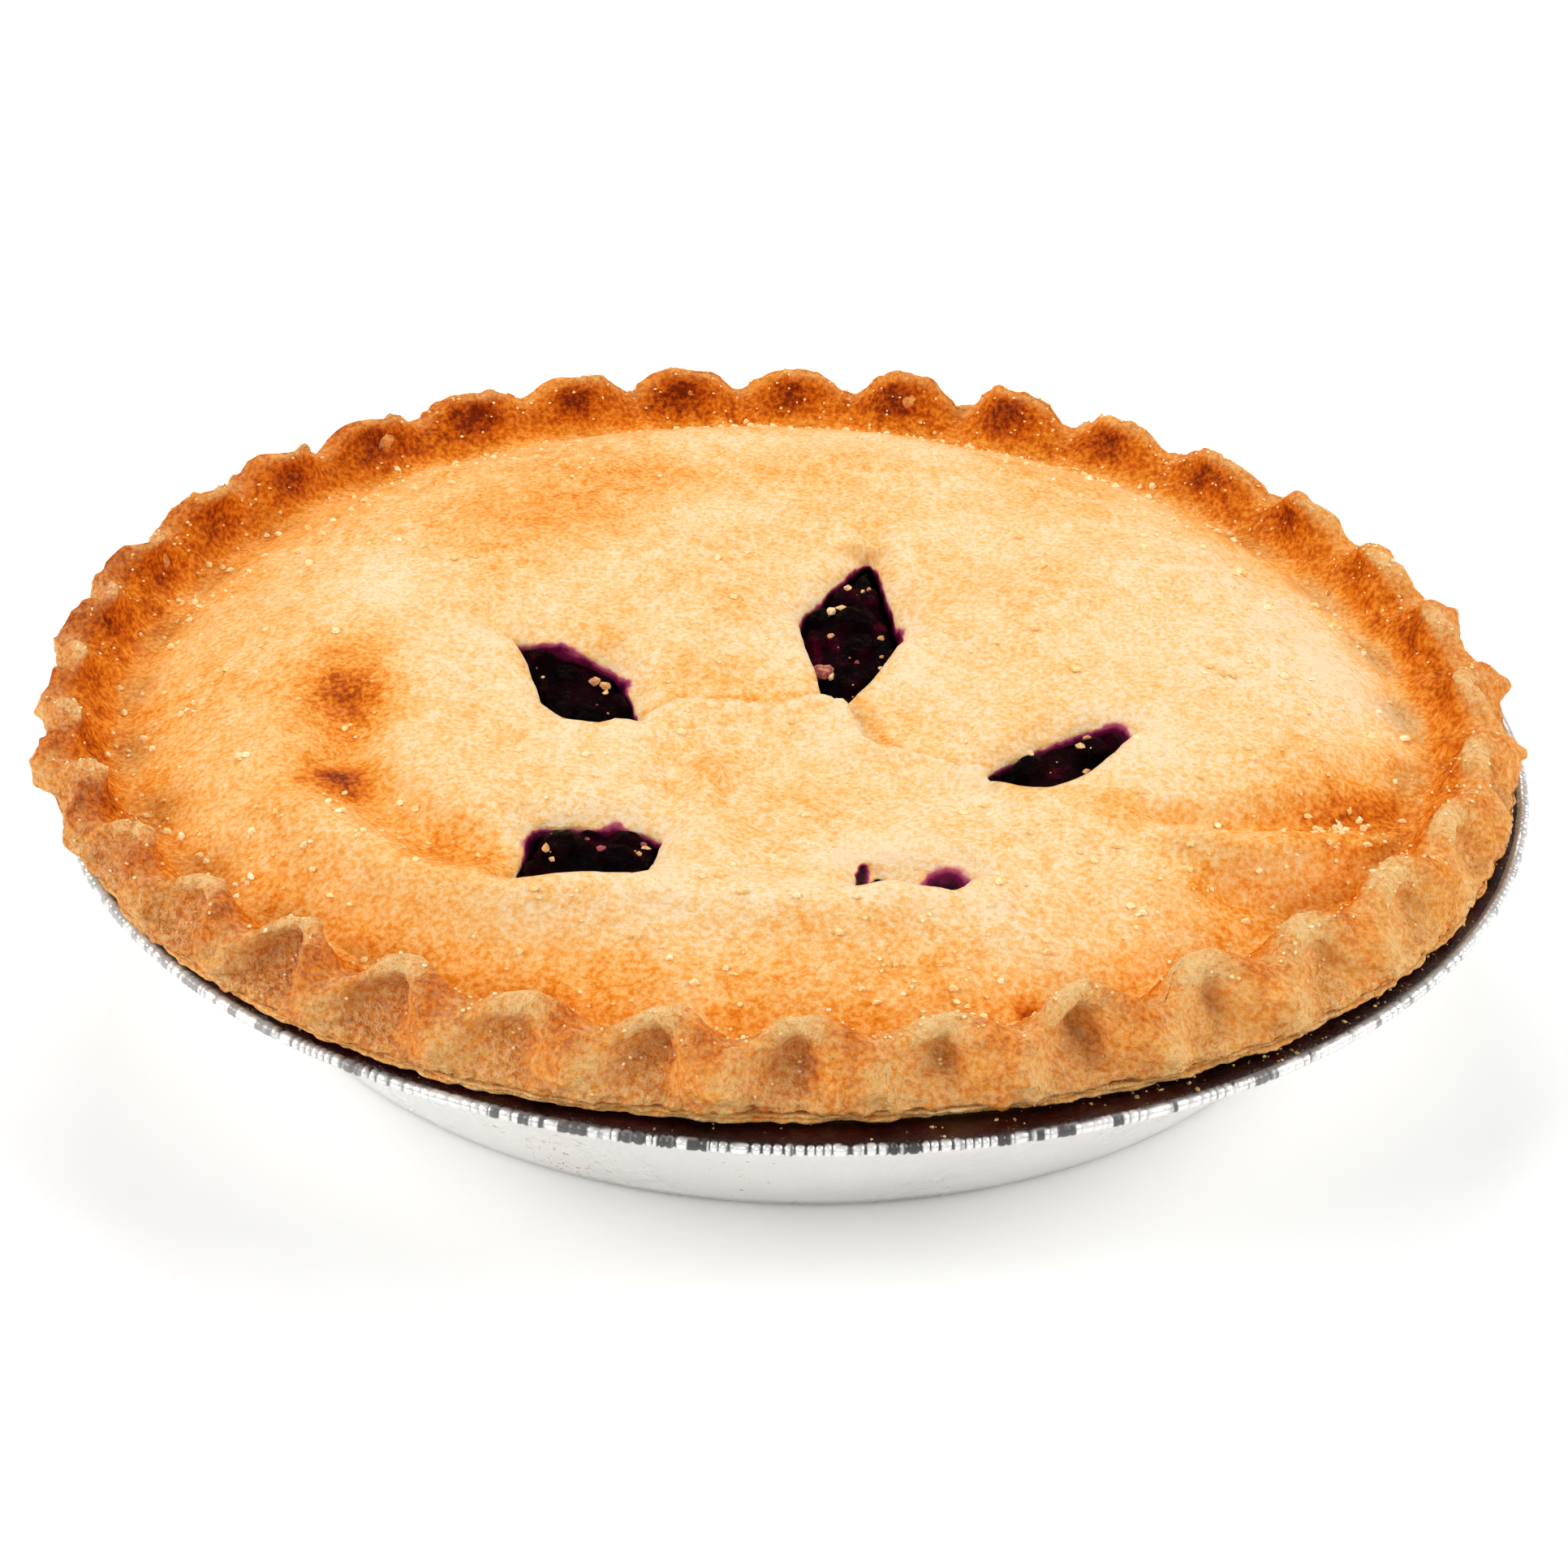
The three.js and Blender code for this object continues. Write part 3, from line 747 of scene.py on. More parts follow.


# ---- Lid ----
# Browner places: x, y, radii along x and y, amount. Negative amounts make paler places; those on the
# right slope, x 78 to 94, are partly painted light where that slope lies in shade.
LID_STAINS = [
    (-68, -16.5, 7, 8, 0.42), (-66.5, -40, 6, 6, 0.56), (-76, -12, 16, 34, 0.07),
    (-40, 42, 12, 12, 0.25), (-56, 44, 10, 16, 0.16), (-28, 62, 18, 8, 0.16), (-45, 52, 26, 18, 0.07),
    (28, 24, 8, 9, 0.09), (45, 55, 16, 9, 0.09), (-12, 16, 12, 9, 0.08), (-33, 6, 7, 5, 0.10),
    (0, 68, 42, 12, 0.07), (20, -74, 46, 8, -0.08), (5, -58, 60, 9, -0.05), (78, 2, 14, 30, -0.13),
    (89, 24, 11, 16, -0.15), (94, -2, 9, 14, -0.13), (18, 97, 14, 7, 0.14), (33, -48, 9, 8, -0.06),
    (84, -30, 12, 12, 0.10), (1.5, -77, 3.5, 2.5, 0.12), (-20, -84, 20, 5, 0.08),
    (33.5, -87, 2.0, 1.6, 0.45), (64, -14, 10, 8, 0.05), (22, -48, 8, 5, 0.05), (-42, -61, 8, 6, 0.05),
]
# Juice on the vents' lips: x, y, reach
LIP_STAINS = [(-37.5, 3.0, 5.0), (-27.0, -4.0, 2.5), (49.5, -18.6, 4.0), (23.5, -59.5, 3.0),
              (-36.6, -55.0, 3.0), (-25.0, -49.5, 3.5), (17.0, 12.0, 3.0), (10.5, 34.0, 2.5)]
# Browner lines: points, half width, amount
LID_STREAKS = [
    (LID_LINES[1][0], 4.0, 0.24), (LID_LINES[0][0], 3.0, 0.06), (LID_LINES[2][0], 4.0, 0.12),
    (LID_LINES[4][0], 6.0, 0.12), (LID_LINES[4][0][3:], 5.0, 0.16), (LID_LINES[6][0], 2.5, 0.07),
    (LID_LINES[7][0], 2.0, 0.10), ([(33.5, -87), (38, -86.6), (41, -87.3)], 0.5, 0.30),
]
# Spacing of the lid's rings, and points per ring from a share of the reach outward
LID_STEP = 0.92 / 98
LID_COUNTS = [(0.52, 640), (0.26, 320), (0.0, 160)]
# The plain sheet under the lid: share of the reach, points per ring
UNDER_COUNTS = [(0.9, 120), (0.74, 96), (0.58, 80), (0.42, 60), (0.26, 40), (0.1, 16)]
WALL_STEPS = 7
# How far each vent's far wall leans in
WALL_LEAN = [0.6, 0.4, 0.8, 3.2, 0.6]
# The one vent whose far wall stays pale, and where along it the juice and the painted shadow of its
# left end begin
PALE_WALL = 3
PALE_STAIN_FROM = (18.0, 21.0)
PALE_SHADOW_FROM = (12, 10)


# Bake of the lid's middle and of its edge, and bearings and widths of the edge's tones
LID_BAKE = 0.15
LID_MOTTLE = [(0.06, 18, 2, 50), (0.05, 6, 2, 53)]
EDGE_BAKE = 0.13
LID_FRONT = (262, 62)
LID_LEFT = (190, 55)
LID_BACK = (95, 50)


def lid_paint(x, y, gap):
    """How brown the lid is, from 0, cream, to 1."""
    angle = np.arctan2(y, x)
    inset = inset_at(x, y) - TROUGH_INSET
    front, left, back = (toward(angle, *place) for place in (LID_FRONT, LID_LEFT, LID_BACK))
    flat = on_plane(x, y)
    # Browner toward the rim; along the back browner still, partly painted shade where the back rim
    # shades the trough
    side = EDGE_BAKE + 0.05 * front + 0.07 * left + 0.10 * back
    width = 20 + 12 * left + 4 * back
    edge = np.clip(1 - inset / width, 0, 1) ** 0.9
    bake = LID_BAKE + side * edge + lumpy(flat, LID_MOTTLE)
    bake += 0.11 * bell(inset, 5) * (1 - 0.5 * back)
    for cx, cy, rx, ry, amount in LID_STAINS:
        bake += amount * bell(np.hypot((x - cx) / rx, (y - cy) / ry), 1)
    for points, width, amount in LID_STREAKS:
        bake += amount * bell(line_distance(x, y, points)[0], width)
    inside, held = tab_place(x, y)
    # Painted shade on the crust just behind the flap's raised edge, and a painted lighter band along
    # the edge itself
    shade = 0.19 * bell(inside + 4.2, 1.4) + 0.07 * bell(inside + 9, 4) - 0.06 * bell(inside - 1, 2)
    bake += held * shade
    return bake - 0.08 * bell(gap, 7)


def lip_stain(x, y, gap):
    """Juice that has crept up over a vent's lip."""
    stain = np.zeros(x.shape)
    for cx, cy, reach in LIP_STAINS:
        stain += 0.5 * bell(np.hypot(x - cx, y - cy), reach) * np.exp(-np.maximum(gap, 0) / 0.9)
    return stain


def ring_points(shares, counts):
    """Points on shrunken copies of the lid's outer line, each ring turned half a step."""
    rows = []
    for k, (share, count) in enumerate(zip(shares, counts)):
        angle = ring(count) + (k % 2) * np.pi / count
        radius = (crest_reach(angle) - TROUGH_INSET) * share
        rows.append(circle(radius, angle))
    return np.vstack(rows + [[[0.0, 0.0]]])


def sheet_faces(outer, inside, holes):
    """Triangles that fill an outer line, leaving holes, through points inside. The points
    are taken in that order: outer, inside, holes."""
    points = np.vstack([outer, inside] + holes)
    edges = [(k, (k + 1) % len(outer)) for k in range(len(outer))]
    first = len(outer) + len(inside)
    for hole in holes:
        edges += [(first + k, first + (k + 1) % len(hole)) for k in range(len(hole))]
        first += len(hole)
    found = delaunay_2d_cdt([tuple(p) for p in points.tolist()], edges, [], 0, 1e-7)
    assert len(found[0]) == len(points), "the sheet's points changed"
    origin = [source[0] for source in found[3]]
    faces = np.array([[origin[k] for k in face] for face in found[2]])
    centre = points[faces].mean(axis=1)
    rim_only = (faces < len(outer)).all(axis=1)
    gap = np.full(len(faces), CLEAR)
    for hole in holes:
        near = np.hypot(*(centre - hole.mean(axis=0)).T) < 30
        gap[near] = np.minimum(gap[near], outline_gap(*centre[near].T, hole)[0])
    faces = faces[~rim_only & (gap > 0)]
    a, b, c = (points[faces[:, k]] for k in range(3))
    side = (b[:, 0] - a[:, 0]) * (c[:, 1] - a[:, 1]) - (b[:, 1] - a[:, 1]) * (c[:, 0] - a[:, 0])
    faces[side < 0] = faces[side < 0][:, ::-1]
    return faces


def lid_shares():
    shares, counts = [], []
    share = 1 - LID_STEP
    while share > 0.015:
        shares.append(share)
        counts.append(next(count for low, count in LID_COUNTS if share >= low))
        share -= LID_STEP
    return shares, counts


def wall_rows(k):
    """Rings of points down a vent's wall, from just under its lip to the crust's underside."""
    line = OUTLINES[k]
    side = outline_sides(line)
    top = lid_height(*line.T, np.zeros(len(line)), side)
    out = outward(line)
    rows = []
    for t in np.arange(1, WALL_STEPS + 1) / WALL_STEPS:
        lean = 0.3 + WALL_LEAN[k] * step(-0.6, 0.6, side)
        place = drawn_in(line, lean * (0.6 * t + 0.4 * t**2))
        low = lid_underside(*place.T)
        points = np.column_stack([place, top + (low - top) * t])
        wander = 0.35 * rough(points, 2.6, 3, 60 + k) * min(1, 3 * (1 - t), 3 * t)
        points[:, :2] += out * wander[:, None]
        rows.append(points)
    return rows


def add_rim(shell):
    """The rim's rings; returns the first index and the points of the lowest and the inmost."""
    grid, table, phase, angle = rim_grid()
    grid = grid + grid_normals(grid) * rim_relief(grid, table, phase, angle)[..., None]
    bake, flour = rim_paint(table, phase, angle)
    blend = step(4.5, 10, table[:, 1])[:, None]
    x, y = grid[..., 0].ravel(), grid[..., 1].ravel()
    lid_bake = lid_paint(x, y, np.full(x.shape, CLEAR))
    bake = bake * (1 - blend) + lid_bake.reshape(bake.shape) * blend
    flour = flour * (1 - blend)
    last = grid[-1]
    last[:, 2] = lid_height(*last[:, :2].T, np.full(len(last), CLEAR))
    firsts = shell.rings([(grid[k], {"bake": bake[k], "flour": flour[k]}) for k in range(len(grid))])
    return firsts[0], grid[0], firsts[-1], last


def add_lid(shell, first, outer):
    """The lid's face inside the rim's inmost ring; returns the first index of each vent's lip."""
    inside = ring_points(*lid_shares())
    gap, foot, _ = vent_gaps(*inside.T)
    side = (inside[:, 1] - foot[:, 1]) / np.maximum(gap, 0.01)
    side, inside, gap = side[gap > 0.5], inside[gap > 0.5], gap[gap > 0.5]
    faces = sheet_faces(outer[:, :2], inside, OUTLINES)
    z = lid_height(*inside.T, gap, side)
    tone = lid_paint(*inside.T, gap)
    shell.add(np.column_stack([inside, z]), bake=tone, stain=lip_stain(*inside.T, gap))
    lips = []
    for line in OUTLINES:
        nought = np.zeros(len(line))
        z = lid_height(*line.T, nought, outline_sides(line))
        lips.append(shell.add(np.column_stack([line, z]), stain=lip_stain(*line.T, nought),
                              bake=lid_paint(*line.T, nought) - 0.02))
    shell.faces += (faces + first).tolist()
    return lips


def make_top_crust(paint):
    shell = Shell()
    low_first, low_points, last_first, last_points = add_rim(shell)
    feet = add_walls(shell, add_lid(shell, last_first, last_points))
    add_underside(shell, low_first, low_points, feet)
    return shell.make("baked_top_crust", paint, "top_crust")


def wall_tone(k, points, depth):
    """Bake and juice stain of a ring of a vent's wall, at a share of its depth; the pale vent's left
    end gets painted shadow.
    """
    stain = depth + (1 - depth) * lip_stain(*OUTLINES[k].T, 0.0)
    bake = 0.14 - 0.05 * depth
    if k == PALE_WALL:
        # Painted shadow: the left end of this vent's wall is made dark brown and purple
        painted_dark = step(*PALE_SHADOW_FROM, points[:, 0])
        stain = stain * (0.15 + 0.85 * step(*PALE_STAIN_FROM, points[:, 0]))
        stain = stain + 0.9 * step(0.0, 0.3, depth) * painted_dark
        bake = bake + 0.9 * painted_dark
    return {"bake": bake, "stain": stain}


def add_walls(shell, lips):
    feet = []
    for k, first in enumerate(lips):
        count = len(OUTLINES[k])
        for n, points in enumerate(wall_rows(k), start=1):
            now = shell.add(points, **wall_tone(k, points, n / WALL_STEPS))
            shell.band(first, count, now, count)
            first = now
        feet.append((first, points))
    return feet


def add_underside(shell, rim_first, rim_points, feet):
    """The sheet under the lid, from the rim's inmost ring to the feet of the vents' walls."""
    shares, counts = zip(*UNDER_COUNTS)
    outer_angle = ring(counts[0])
    radius = (crest_reach(outer_angle) - TROUGH_INSET) * shares[0]
    outer = circle(radius, outer_angle)
    inside = ring_points(shares[1:], counts[1:])
    holes = [points[:, :2] for _, points in feet]
    gap = np.full(len(inside), CLEAR)
    for hole in holes:
        gap = np.minimum(gap, outline_gap(*inside.T, hole)[0])
    inside = inside[gap > 2]
    faces = sheet_faces(outer, inside, holes)
    flat = np.vstack([outer, inside])
    first = shell.add(np.column_stack([flat, lid_underside(*flat.T)]), bake=0.2, flour=0.3)
    index = np.concatenate([first + np.arange(len(flat))]
                           + [start + np.arange(len(points)) for start, points in feet])
    shell.faces += index[faces][:, ::-1].tolist()
    shell.band(first, len(outer), rim_first, len(rim_points))


# ---- Bottom crust ----
LIP_COLUMNS = 1360
PLAIN_COLUMNS = 180
HIDDEN_COLUMNS = 120
OUTSIDE_BAKE = 0.4
INSIDE_BAKE = 0.2
# reach from the wall's top to the crust's edge, height
LIP_ROWS = [(0.5, 31.5), (0.8, 31.45), (0.93, 31.45), (0.985, 31.55), (1.0, 31.8), (0.985, 32.05),
            (0.955, 32.2), (0.985, 32.4), (0.975, 32.62), (0.93, 32.75), (0.85, 32.8), (0.6, 32.8)]


def tin_inner_radius(z):
    rise = TIN_FLANGE_HEIGHT - TIN_THICKNESS - TIN_HEEL_HEIGHT
    slope = (TIN_WALL_TOP_RADIUS - TIN_HEEL_RADIUS) / rise
    return TIN_HEEL_RADIUS + slope * (z - TIN_HEEL_HEIGHT) - TIN_THICKNESS * math.hypot(1, slope)


def lining_radius(z, inward=0.0):
    return tin_inner_radius(z) - 2 * GAP - inward


def lip_rings():
    """The flaky edge of the bottom crust, in two thin layers."""
    angle = ring(LIP_COLUMNS)
    rows = []
    for k, (reach, z) in enumerate(LIP_ROWS):
        radius = RIM_SHELF_RADIUS + reach * (edge_reach(angle) - RIM_SHELF_RADIUS)
        points = polar(radius, angle, z)
        layer = 0 if k < 6 else 1
        spot = points * [1, 1, 0.2]
        jag = (0.8 * noise(spot, 4.5, 70 + layer) + 0.45 * noise(spot, 1.6, 72 + layer)
               + 0.2 * noise(spot, 0.8, 74 + layer))
        loose = step(0.75, 0.95, reach)
        radius = radius + jag * loose - 0.25 * loose
        lift = 0.16 * noise(points, 6, 76) * loose + 0.08 * noise(points, 1.5, 77) * loose
        bake = 0.32 + 0.25 * bell(z - 32.2, 0.12) + 0.1 * noise(points, 3, 78)
        rows.append((polar(radius, angle, z + lift), {"bake": bake, "flour": 0.3}))
    return rows


def make_bottom_crust(paint):
    """The cup of pastry: up its outside, round its edge and down its inside."""
    shell = Shell()
    thick = BOTTOM_CRUST_THICKNESS
    floor = TIN_THICKNESS + GAP
    top, shelf, brim = floor + thick, TIN_FLANGE_HEIGHT + GAP, LIP_ROWS[-1][1]
    edge = edge_reach(ring(360)) - RIM_SHELF_RADIUS
    below = [(0, 1), (30, 24), (60, 48), (TIN_BASE_RADIUS - 1.5, 120)]
    rows = [hoop(radius, count, floor, bake=OUTSIDE_BAKE) for radius, count in below]
    for z in (floor + 1.5, 10, 20, shelf):
        rows.append(hoop(lining_radius(z), PLAIN_COLUMNS, z, bake=OUTSIDE_BAKE))
    rows.append(hoop(RIM_SHELF_RADIUS + 0.05 * edge, 360, shelf, bake=OUTSIDE_BAKE))
    rows += lip_rings()
    rows.append(hoop(lining_radius(brim, thick), PLAIN_COLUMNS, brim, bake=INSIDE_BAKE))
    for z in (shelf, 20, 10, top + 1.5):
        rows.append(hoop(lining_radius(z, thick), HIDDEN_COLUMNS, z, bake=INSIDE_BAKE))
    within = [(75, 90), (40, 36), (0, 1)]
    rows += [hoop(radius, count, top, bake=INSIDE_BAKE) for radius, count in within]
    shell.rings(rows)
    return shell.make("baked_bottom_crust", paint, "bottom_crust")


# ---- Filling ----
# Spacing of the points in the vents, and how high the filling is raised in each vent
FILL_FINE = 0.55
FILL_RAISE = [2.8, 2.6, 2.8, -0.6, 2.8]
FILL_WRINKLES = [(0.34, 1.9, 3, 82)]
BERRY_REACH = 2.4
BERRY_SEED = 21
BERRIES_PER_VENT = 9


def scattered(k, many, reach, clear, chance):
    """Random places inside a vent's outline, at least so far from it."""
    places = OUTLINES[k].mean(axis=0) + chance.uniform(-reach, reach, (many, 2))
    return places[outline_gap(*places.T, OUTLINES[k])[0] < -clear]


def place_berries():
    """Berries that show in the vents: centre x and y, and radius."""
    chance = np.random.default_rng(BERRY_SEED)
    berries = []
    for k in range(len(VENTS)):
        kept = []
        for x, y in scattered(k, 600, 18, -1.5, chance):
            radius = chance.uniform(3.1, 4.6)
            if all(math.hypot(x - a, y - b) > 0.80 * (radius + c) for a, b, c in kept):
                kept.append((x, y, radius))
        berries += kept[:BERRIES_PER_VENT]
    return berries


BERRIES = place_berries()


def filling_height(x, y):
    gap, _, which = vent_gaps(x, y)
    rise = np.array(FILL_RAISE)[which] * step(0.5, -2.0, gap)
    flat = on_plane(x, y)
    near = step(4, 0, gap)
    z = lid_underside(x, y) - FILLING_CLEARANCE + rise
    bumps = np.zeros(x.shape)
    for cx, cy, radius in BERRIES:
        away = np.hypot(x - cx, y - cy)
        dome = np.sqrt(np.maximum(0, radius**2 - away**2)) - 0.52 * radius
        bumps = np.maximum(bumps, dome)
    wrinkles = lumpy(flat, FILL_WRINKLES)
    inner = step(1.5, -1.0, gap)
    return z + near * (wrinkles - 0.8) + inner * np.minimum(bumps, BERRY_REACH)


def filling_places():
    """Places of the filling's top: close together in the vents, far apart under the lid."""
    shares, counts = zip(*UNDER_COUNTS)
    coarse = ring_points([s * 0.98 for s in shares], counts)
    coarse = coarse[vent_gaps(*coarse.T)[0] > 3.2]
    reach = np.arange(-100, 100, FILL_FINE)
    across, up = np.meshgrid(reach, reach * 0.866)
    across = across + (np.arange(len(reach)) % 2)[:, None] * FILL_FINE / 2
    fine = np.column_stack([across.ravel(), up.ravel()])
    fine = fine[np.hypot(*(fine - STAMP).T) < 66]
    return np.vstack([coarse, fine[vent_gaps(*fine.T)[0] < 2.2]])


def make_filling(paint):
    shell = Shell()
    thick = BOTTOM_CRUST_THICKNESS + 2 * GAP
    floor = TIN_THICKNESS + thick
    brim = SEAM - GAP - FILLING_CLEARANCE
    rows = [hoop(radius, count, floor) for radius, count in ((0, 1), (40, 36), (78, 90))]
    rows += [hoop(lining_radius(z, thick), HIDDEN_COLUMNS, z) for z in (floor + 1.5, 12, 20, brim)]
    firsts = shell.rings(rows)
    inside = filling_places()
    faces = sheet_faces(rows[-1][0][:, :2], inside, [])
    shell.add(np.column_stack([inside, filling_height(*inside.T)]))
    shell.faces += (faces + firsts[-1]).tolist()
    return shell.make("lumpy_filling", paint, "filling")


# ---- Tin ----
BEAD_COLUMNS = 3240
FLANGE_COLUMNS = 1440
WALL_COLUMNS = 720
BEAD_TURN = [-2.2, -1.75, -1.3, -0.85, -0.4, 0.05, 0.5, 0.95, 1.4, 1.85, 2.3]
# Cuts and tight folds of the bead: bearing in degrees, half width in degrees, depth
BEAD_NICKS = [(233, 0.10, 0.7), (241, 0.08, 0.6), (302, 0.12, 0.6), (305, 0.09, 0.5), (309, 0.12, 0.6),
              (313, 0.10, 0.5), (319, 0.12, 0.6), (30, 0.1, 0.6), (77, 0.1, 0.6), (121, 0.1, 0.5)]
BEAD_SWAY = [(0.35, 38, 1, 93), (0.16, 5, 1, 94)]
BURNT_EDGE = [(0.35, 2.6, 1, 95), (0.25, 0.9, 1, 96)]
WALL_RIPPLE = [(0.22, 3.2, 1, 96), (0.15, 8.5, 1, 97)]
# Bearing and width where the bead is darkest: real burnt juice, with painted shade in the folds and
# painted dark reflections
BURNT_AND_SHADED_SIDE = (275, 62)
SPLASHES = [(250, 10, 1.0), (268, 7, 0.7), (60, 14, 0.3)]


def crimp(angle):
    """Depth, 0 to 1, of the narrow upright folds round the bead, unevenly spaced."""
    arc = np.stack([np.cos(angle), np.sin(angle), 0 * angle], axis=-1) * BEAD_RING_RADIUS
    bent = angle * BEAD_RING_RADIUS / 1.5 + 1.5 * noise(arc, 9, 90) + 0.8 * noise(arc, 3.5, 91)
    strength = 0.25 + 0.75 * np.clip(noise(arc, 7, 92) + 0.55, 0, 1)
    return strength * (1 - np.abs(np.sin(np.pi * bent))) ** 2.0


def bead_rings():
    angle = ring(BEAD_COLUMNS)
    fold = crimp(angle)
    arc = polar(BEAD_RING_RADIUS, angle, 0)
    sway, ragged = lumpy(arc, BEAD_SWAY), lumpy(arc, BURNT_EDGE)
    front = toward(angle, *BURNT_AND_SHADED_SIDE)
    # glint: painted dark reflections, patches of near-black on the foil
    glint = step(0.16, 0.3, noise(arc, 1.3, 99) + 0.5 * noise(arc, 11, 89))
    rows = []
    for turn in BEAD_TURN:
        tall = BEAD_RADIUS * (1 - 0.45 * fold) - around(BEAD_NICKS, angle)
        radius = BEAD_RING_RADIUS + tall * math.cos(turn) + 0.3 * sway
        # Painted shade in the folds and painted dark reflections on the bead's upper outer side,
        # strongest at the front
        painted_dark = np.maximum(step(0.12, 0.45, fold), glint) * step(1.5, 0.9, abs(turn - 0.35))
        soot = painted_dark * (0.2 + 0.75 * front)
        burnt = front * step(1.25, 1.75, turn + ragged + 0.25 * front)
        points = polar(radius, angle, BEAD_HEIGHT + tall * math.sin(turn) + 0.5 * sway)
        rows.append((points, {"soot": np.maximum(soot, burnt)}))
    return rows


def wall_ring(share):
    """A ring of the tin's wall at a share of its height, with faint slanting wrinkles."""
    angle = ring(WALL_COLUMNS)
    z = TIN_HEEL_HEIGHT + share * (TIN_FLANGE_HEIGHT - TIN_THICKNESS - TIN_HEEL_HEIGHT)
    radius = TIN_HEEL_RADIUS + share * (TIN_WALL_TOP_RADIUS - TIN_HEEL_RADIUS)
    arc = polar(100.0, angle, share * 26)
    slanted = polar(100.0, angle + 0.16 * share, share * 4)
    ripple = lumpy(slanted, WALL_RIPPLE) + 0.2 * noise(arc, 24, 98)
    middle = step(0, 0.18, share) * (0.4 + 0.6 * step(1.0, 0.7, share))
    return polar(radius + ripple * middle, angle, z)


def splash(points):
    """Where boiled-over juice has spotted the wall, 0 to 1."""
    angle = np.arctan2(points[:, 1], points[:, 0])
    return np.clip(around(SPLASHES, angle), 0, 1)


def make_tin(paint):
    """One sheet of foil: up its outside, round the bead and down its inside."""
    shell = Shell()
    heel = (TIN_BASE_RADIUS + TIN_HEEL_RADIUS) / 2
    base = [(0, 1), (28, 36), (56, 90), (80, 240), (TIN_BASE_RADIUS, WALL_COLUMNS)]
    rows = [hoop(radius, count, 0.0) for radius, count in base]
    rows.append(hoop(heel + 0.6, WALL_COLUMNS, 0.45))
    walls = [wall_ring(share) for share in np.linspace(0, 1, 13)]
    rows += [(points, {"splash": splash(points)}) for points in walls]
    rows.append(hoop(TIN_FLANGE_RADIUS, FLANGE_COLUMNS, TIN_FLANGE_HEIGHT - TIN_THICKNESS))
    rows += bead_rings()
    rows.append(hoop(TIN_FLANGE_RADIUS - 0.3, FLANGE_COLUMNS, TIN_FLANGE_HEIGHT))
    for z in (TIN_FLANGE_HEIGHT, 20, 10, TIN_HEEL_HEIGHT):
        rows.append(hoop(tin_inner_radius(z), PLAIN_COLUMNS, z))
    within = [(TIN_BASE_RADIUS - 0.5, 90), (40, 36), (0, 1)]
    rows += [hoop(radius, count, TIN_THICKNESS) for radius, count in within]
    shell.rings(rows)
    return shell.make("crimped_tin", paint, "foil_tin")


# ---- Burnt juice on the flange ----
JUICE_COLUMNS = 1200
JUICE_INNER_COLUMNS = 240
JUICE_BASE = TIN_FLANGE_HEIGHT + 0.06
# radius, height
JUICE_ROWS = [(106.9, 30.15), (109.0, 30.35), (110.4, 30.5), (111.6, 30.55), (112.5, 30.5),
              (113.1, 30.35), (113.5, 30.05)]


def make_juice(paint):
    """The dark ring of boiled-over juice that lies on the tin's flange."""
    angle = ring(JUICE_COLUMNS)
    rows = []
    for radius, z in JUICE_ROWS:
        points = polar(radius, angle, z)
        lumps = 0.16 * rough(points, 3.0, 3, 100)
        ragged = 0.3 * noise(points * [1, 1, 0], 3.5, 103) if radius > 112 else 0
        rows.append((polar(radius + ragged, angle, z + lumps), {}))
    rows += [hoop(113.2, JUICE_COLUMNS, JUICE_BASE), hoop(106.9, JUICE_INNER_COLUMNS, JUICE_BASE)]
    shell = Shell()
    firsts = shell.rings(rows)
    shell.band(firsts[-1], JUICE_INNER_COLUMNS, firsts[0], JUICE_COLUMNS)
    shell.faces = [face[::-1] for face in shell.faces]
    return shell.make("burnt_juice", paint)


# ---- Crumbs ----
CRUMB_FACES = [(0, 2, 4), (2, 1, 4), (1, 3, 4), (3, 0, 4), (2, 0, 5), (1, 2, 5), (3, 1, 5), (0, 3, 5)]
CRUMB_POINTS = [(1, 0, 0), (-1, 0, 0), (0, 1, 0), (0, -1, 0), (0, 0, 1), (0, 0, -1)]


def crumb_shape():
    """A small round body of 32 faces, before each crumb is bent out of shape."""
    points = [np.array(p, float) for p in CRUMB_POINTS]
    faces, middles = [], {}

    def middle(a, b):
        key = (min(a, b), max(a, b))
        if key not in middles:
            between = points[a] + points[b]
            points.append(between / np.linalg.norm(between))
            middles[key] = len(points) - 1
        return middles[key]

    for a, b, c in CRUMB_FACES:
        ab, bc, ca = middle(a, b), middle(b, c), middle(c, a)
        faces += [(a, ab, ca), (ab, b, bc), (ca, bc, c), (ab, bc, ca)]
    return np.array(points), np.array(faces)


def add_crumbs(shell, places, sizes, chance, **marks):
    body, faces = crumb_shape()
    for k, (place, size) in enumerate(zip(places, sizes)):
        stretch = chance.uniform(0.6, 1.25, 3) * size * [1, 1, 0.8]
        spin = chance.uniform(0, 2 * np.pi)
        dents = 1 + 0.28 * chance.uniform(-1, 1, len(body))
        points = body * dents[:, None] * stretch
        c, s = math.cos(spin), math.sin(spin)
        points = points @ np.array([[c, s, 0], [-s, c, 0], [0, 0, 1]]) + place
        own = {name: value[k] for name, value in marks.items()}
        first = shell.add(points, **own)
        shell.faces += (faces + first).tolist()


def crust_spots(piece):
    """The crust's corners, in millimetres, with their normals, as places where crumbs can lie."""
    read = []
    for name in ("co", "normal"):
        values = np.zeros(len(piece.data.vertices) * 3)
        piece.data.vertices.foreach_get(name, values)
        read.append(values.reshape(-1, 3))
    return read[0] * 1000, read[1]


# How many crumbs lie on the crust, are tried on the flange, and lie in each vent
CRUST_CRUMBS = 1500
FLANGE_CRUMBS = 900
VENT_CRUMBS = (9, 13, 8, 1, 9)
CRUST_SEED, VENT_SEED, FLANGE_SEED = 33, 34, 35


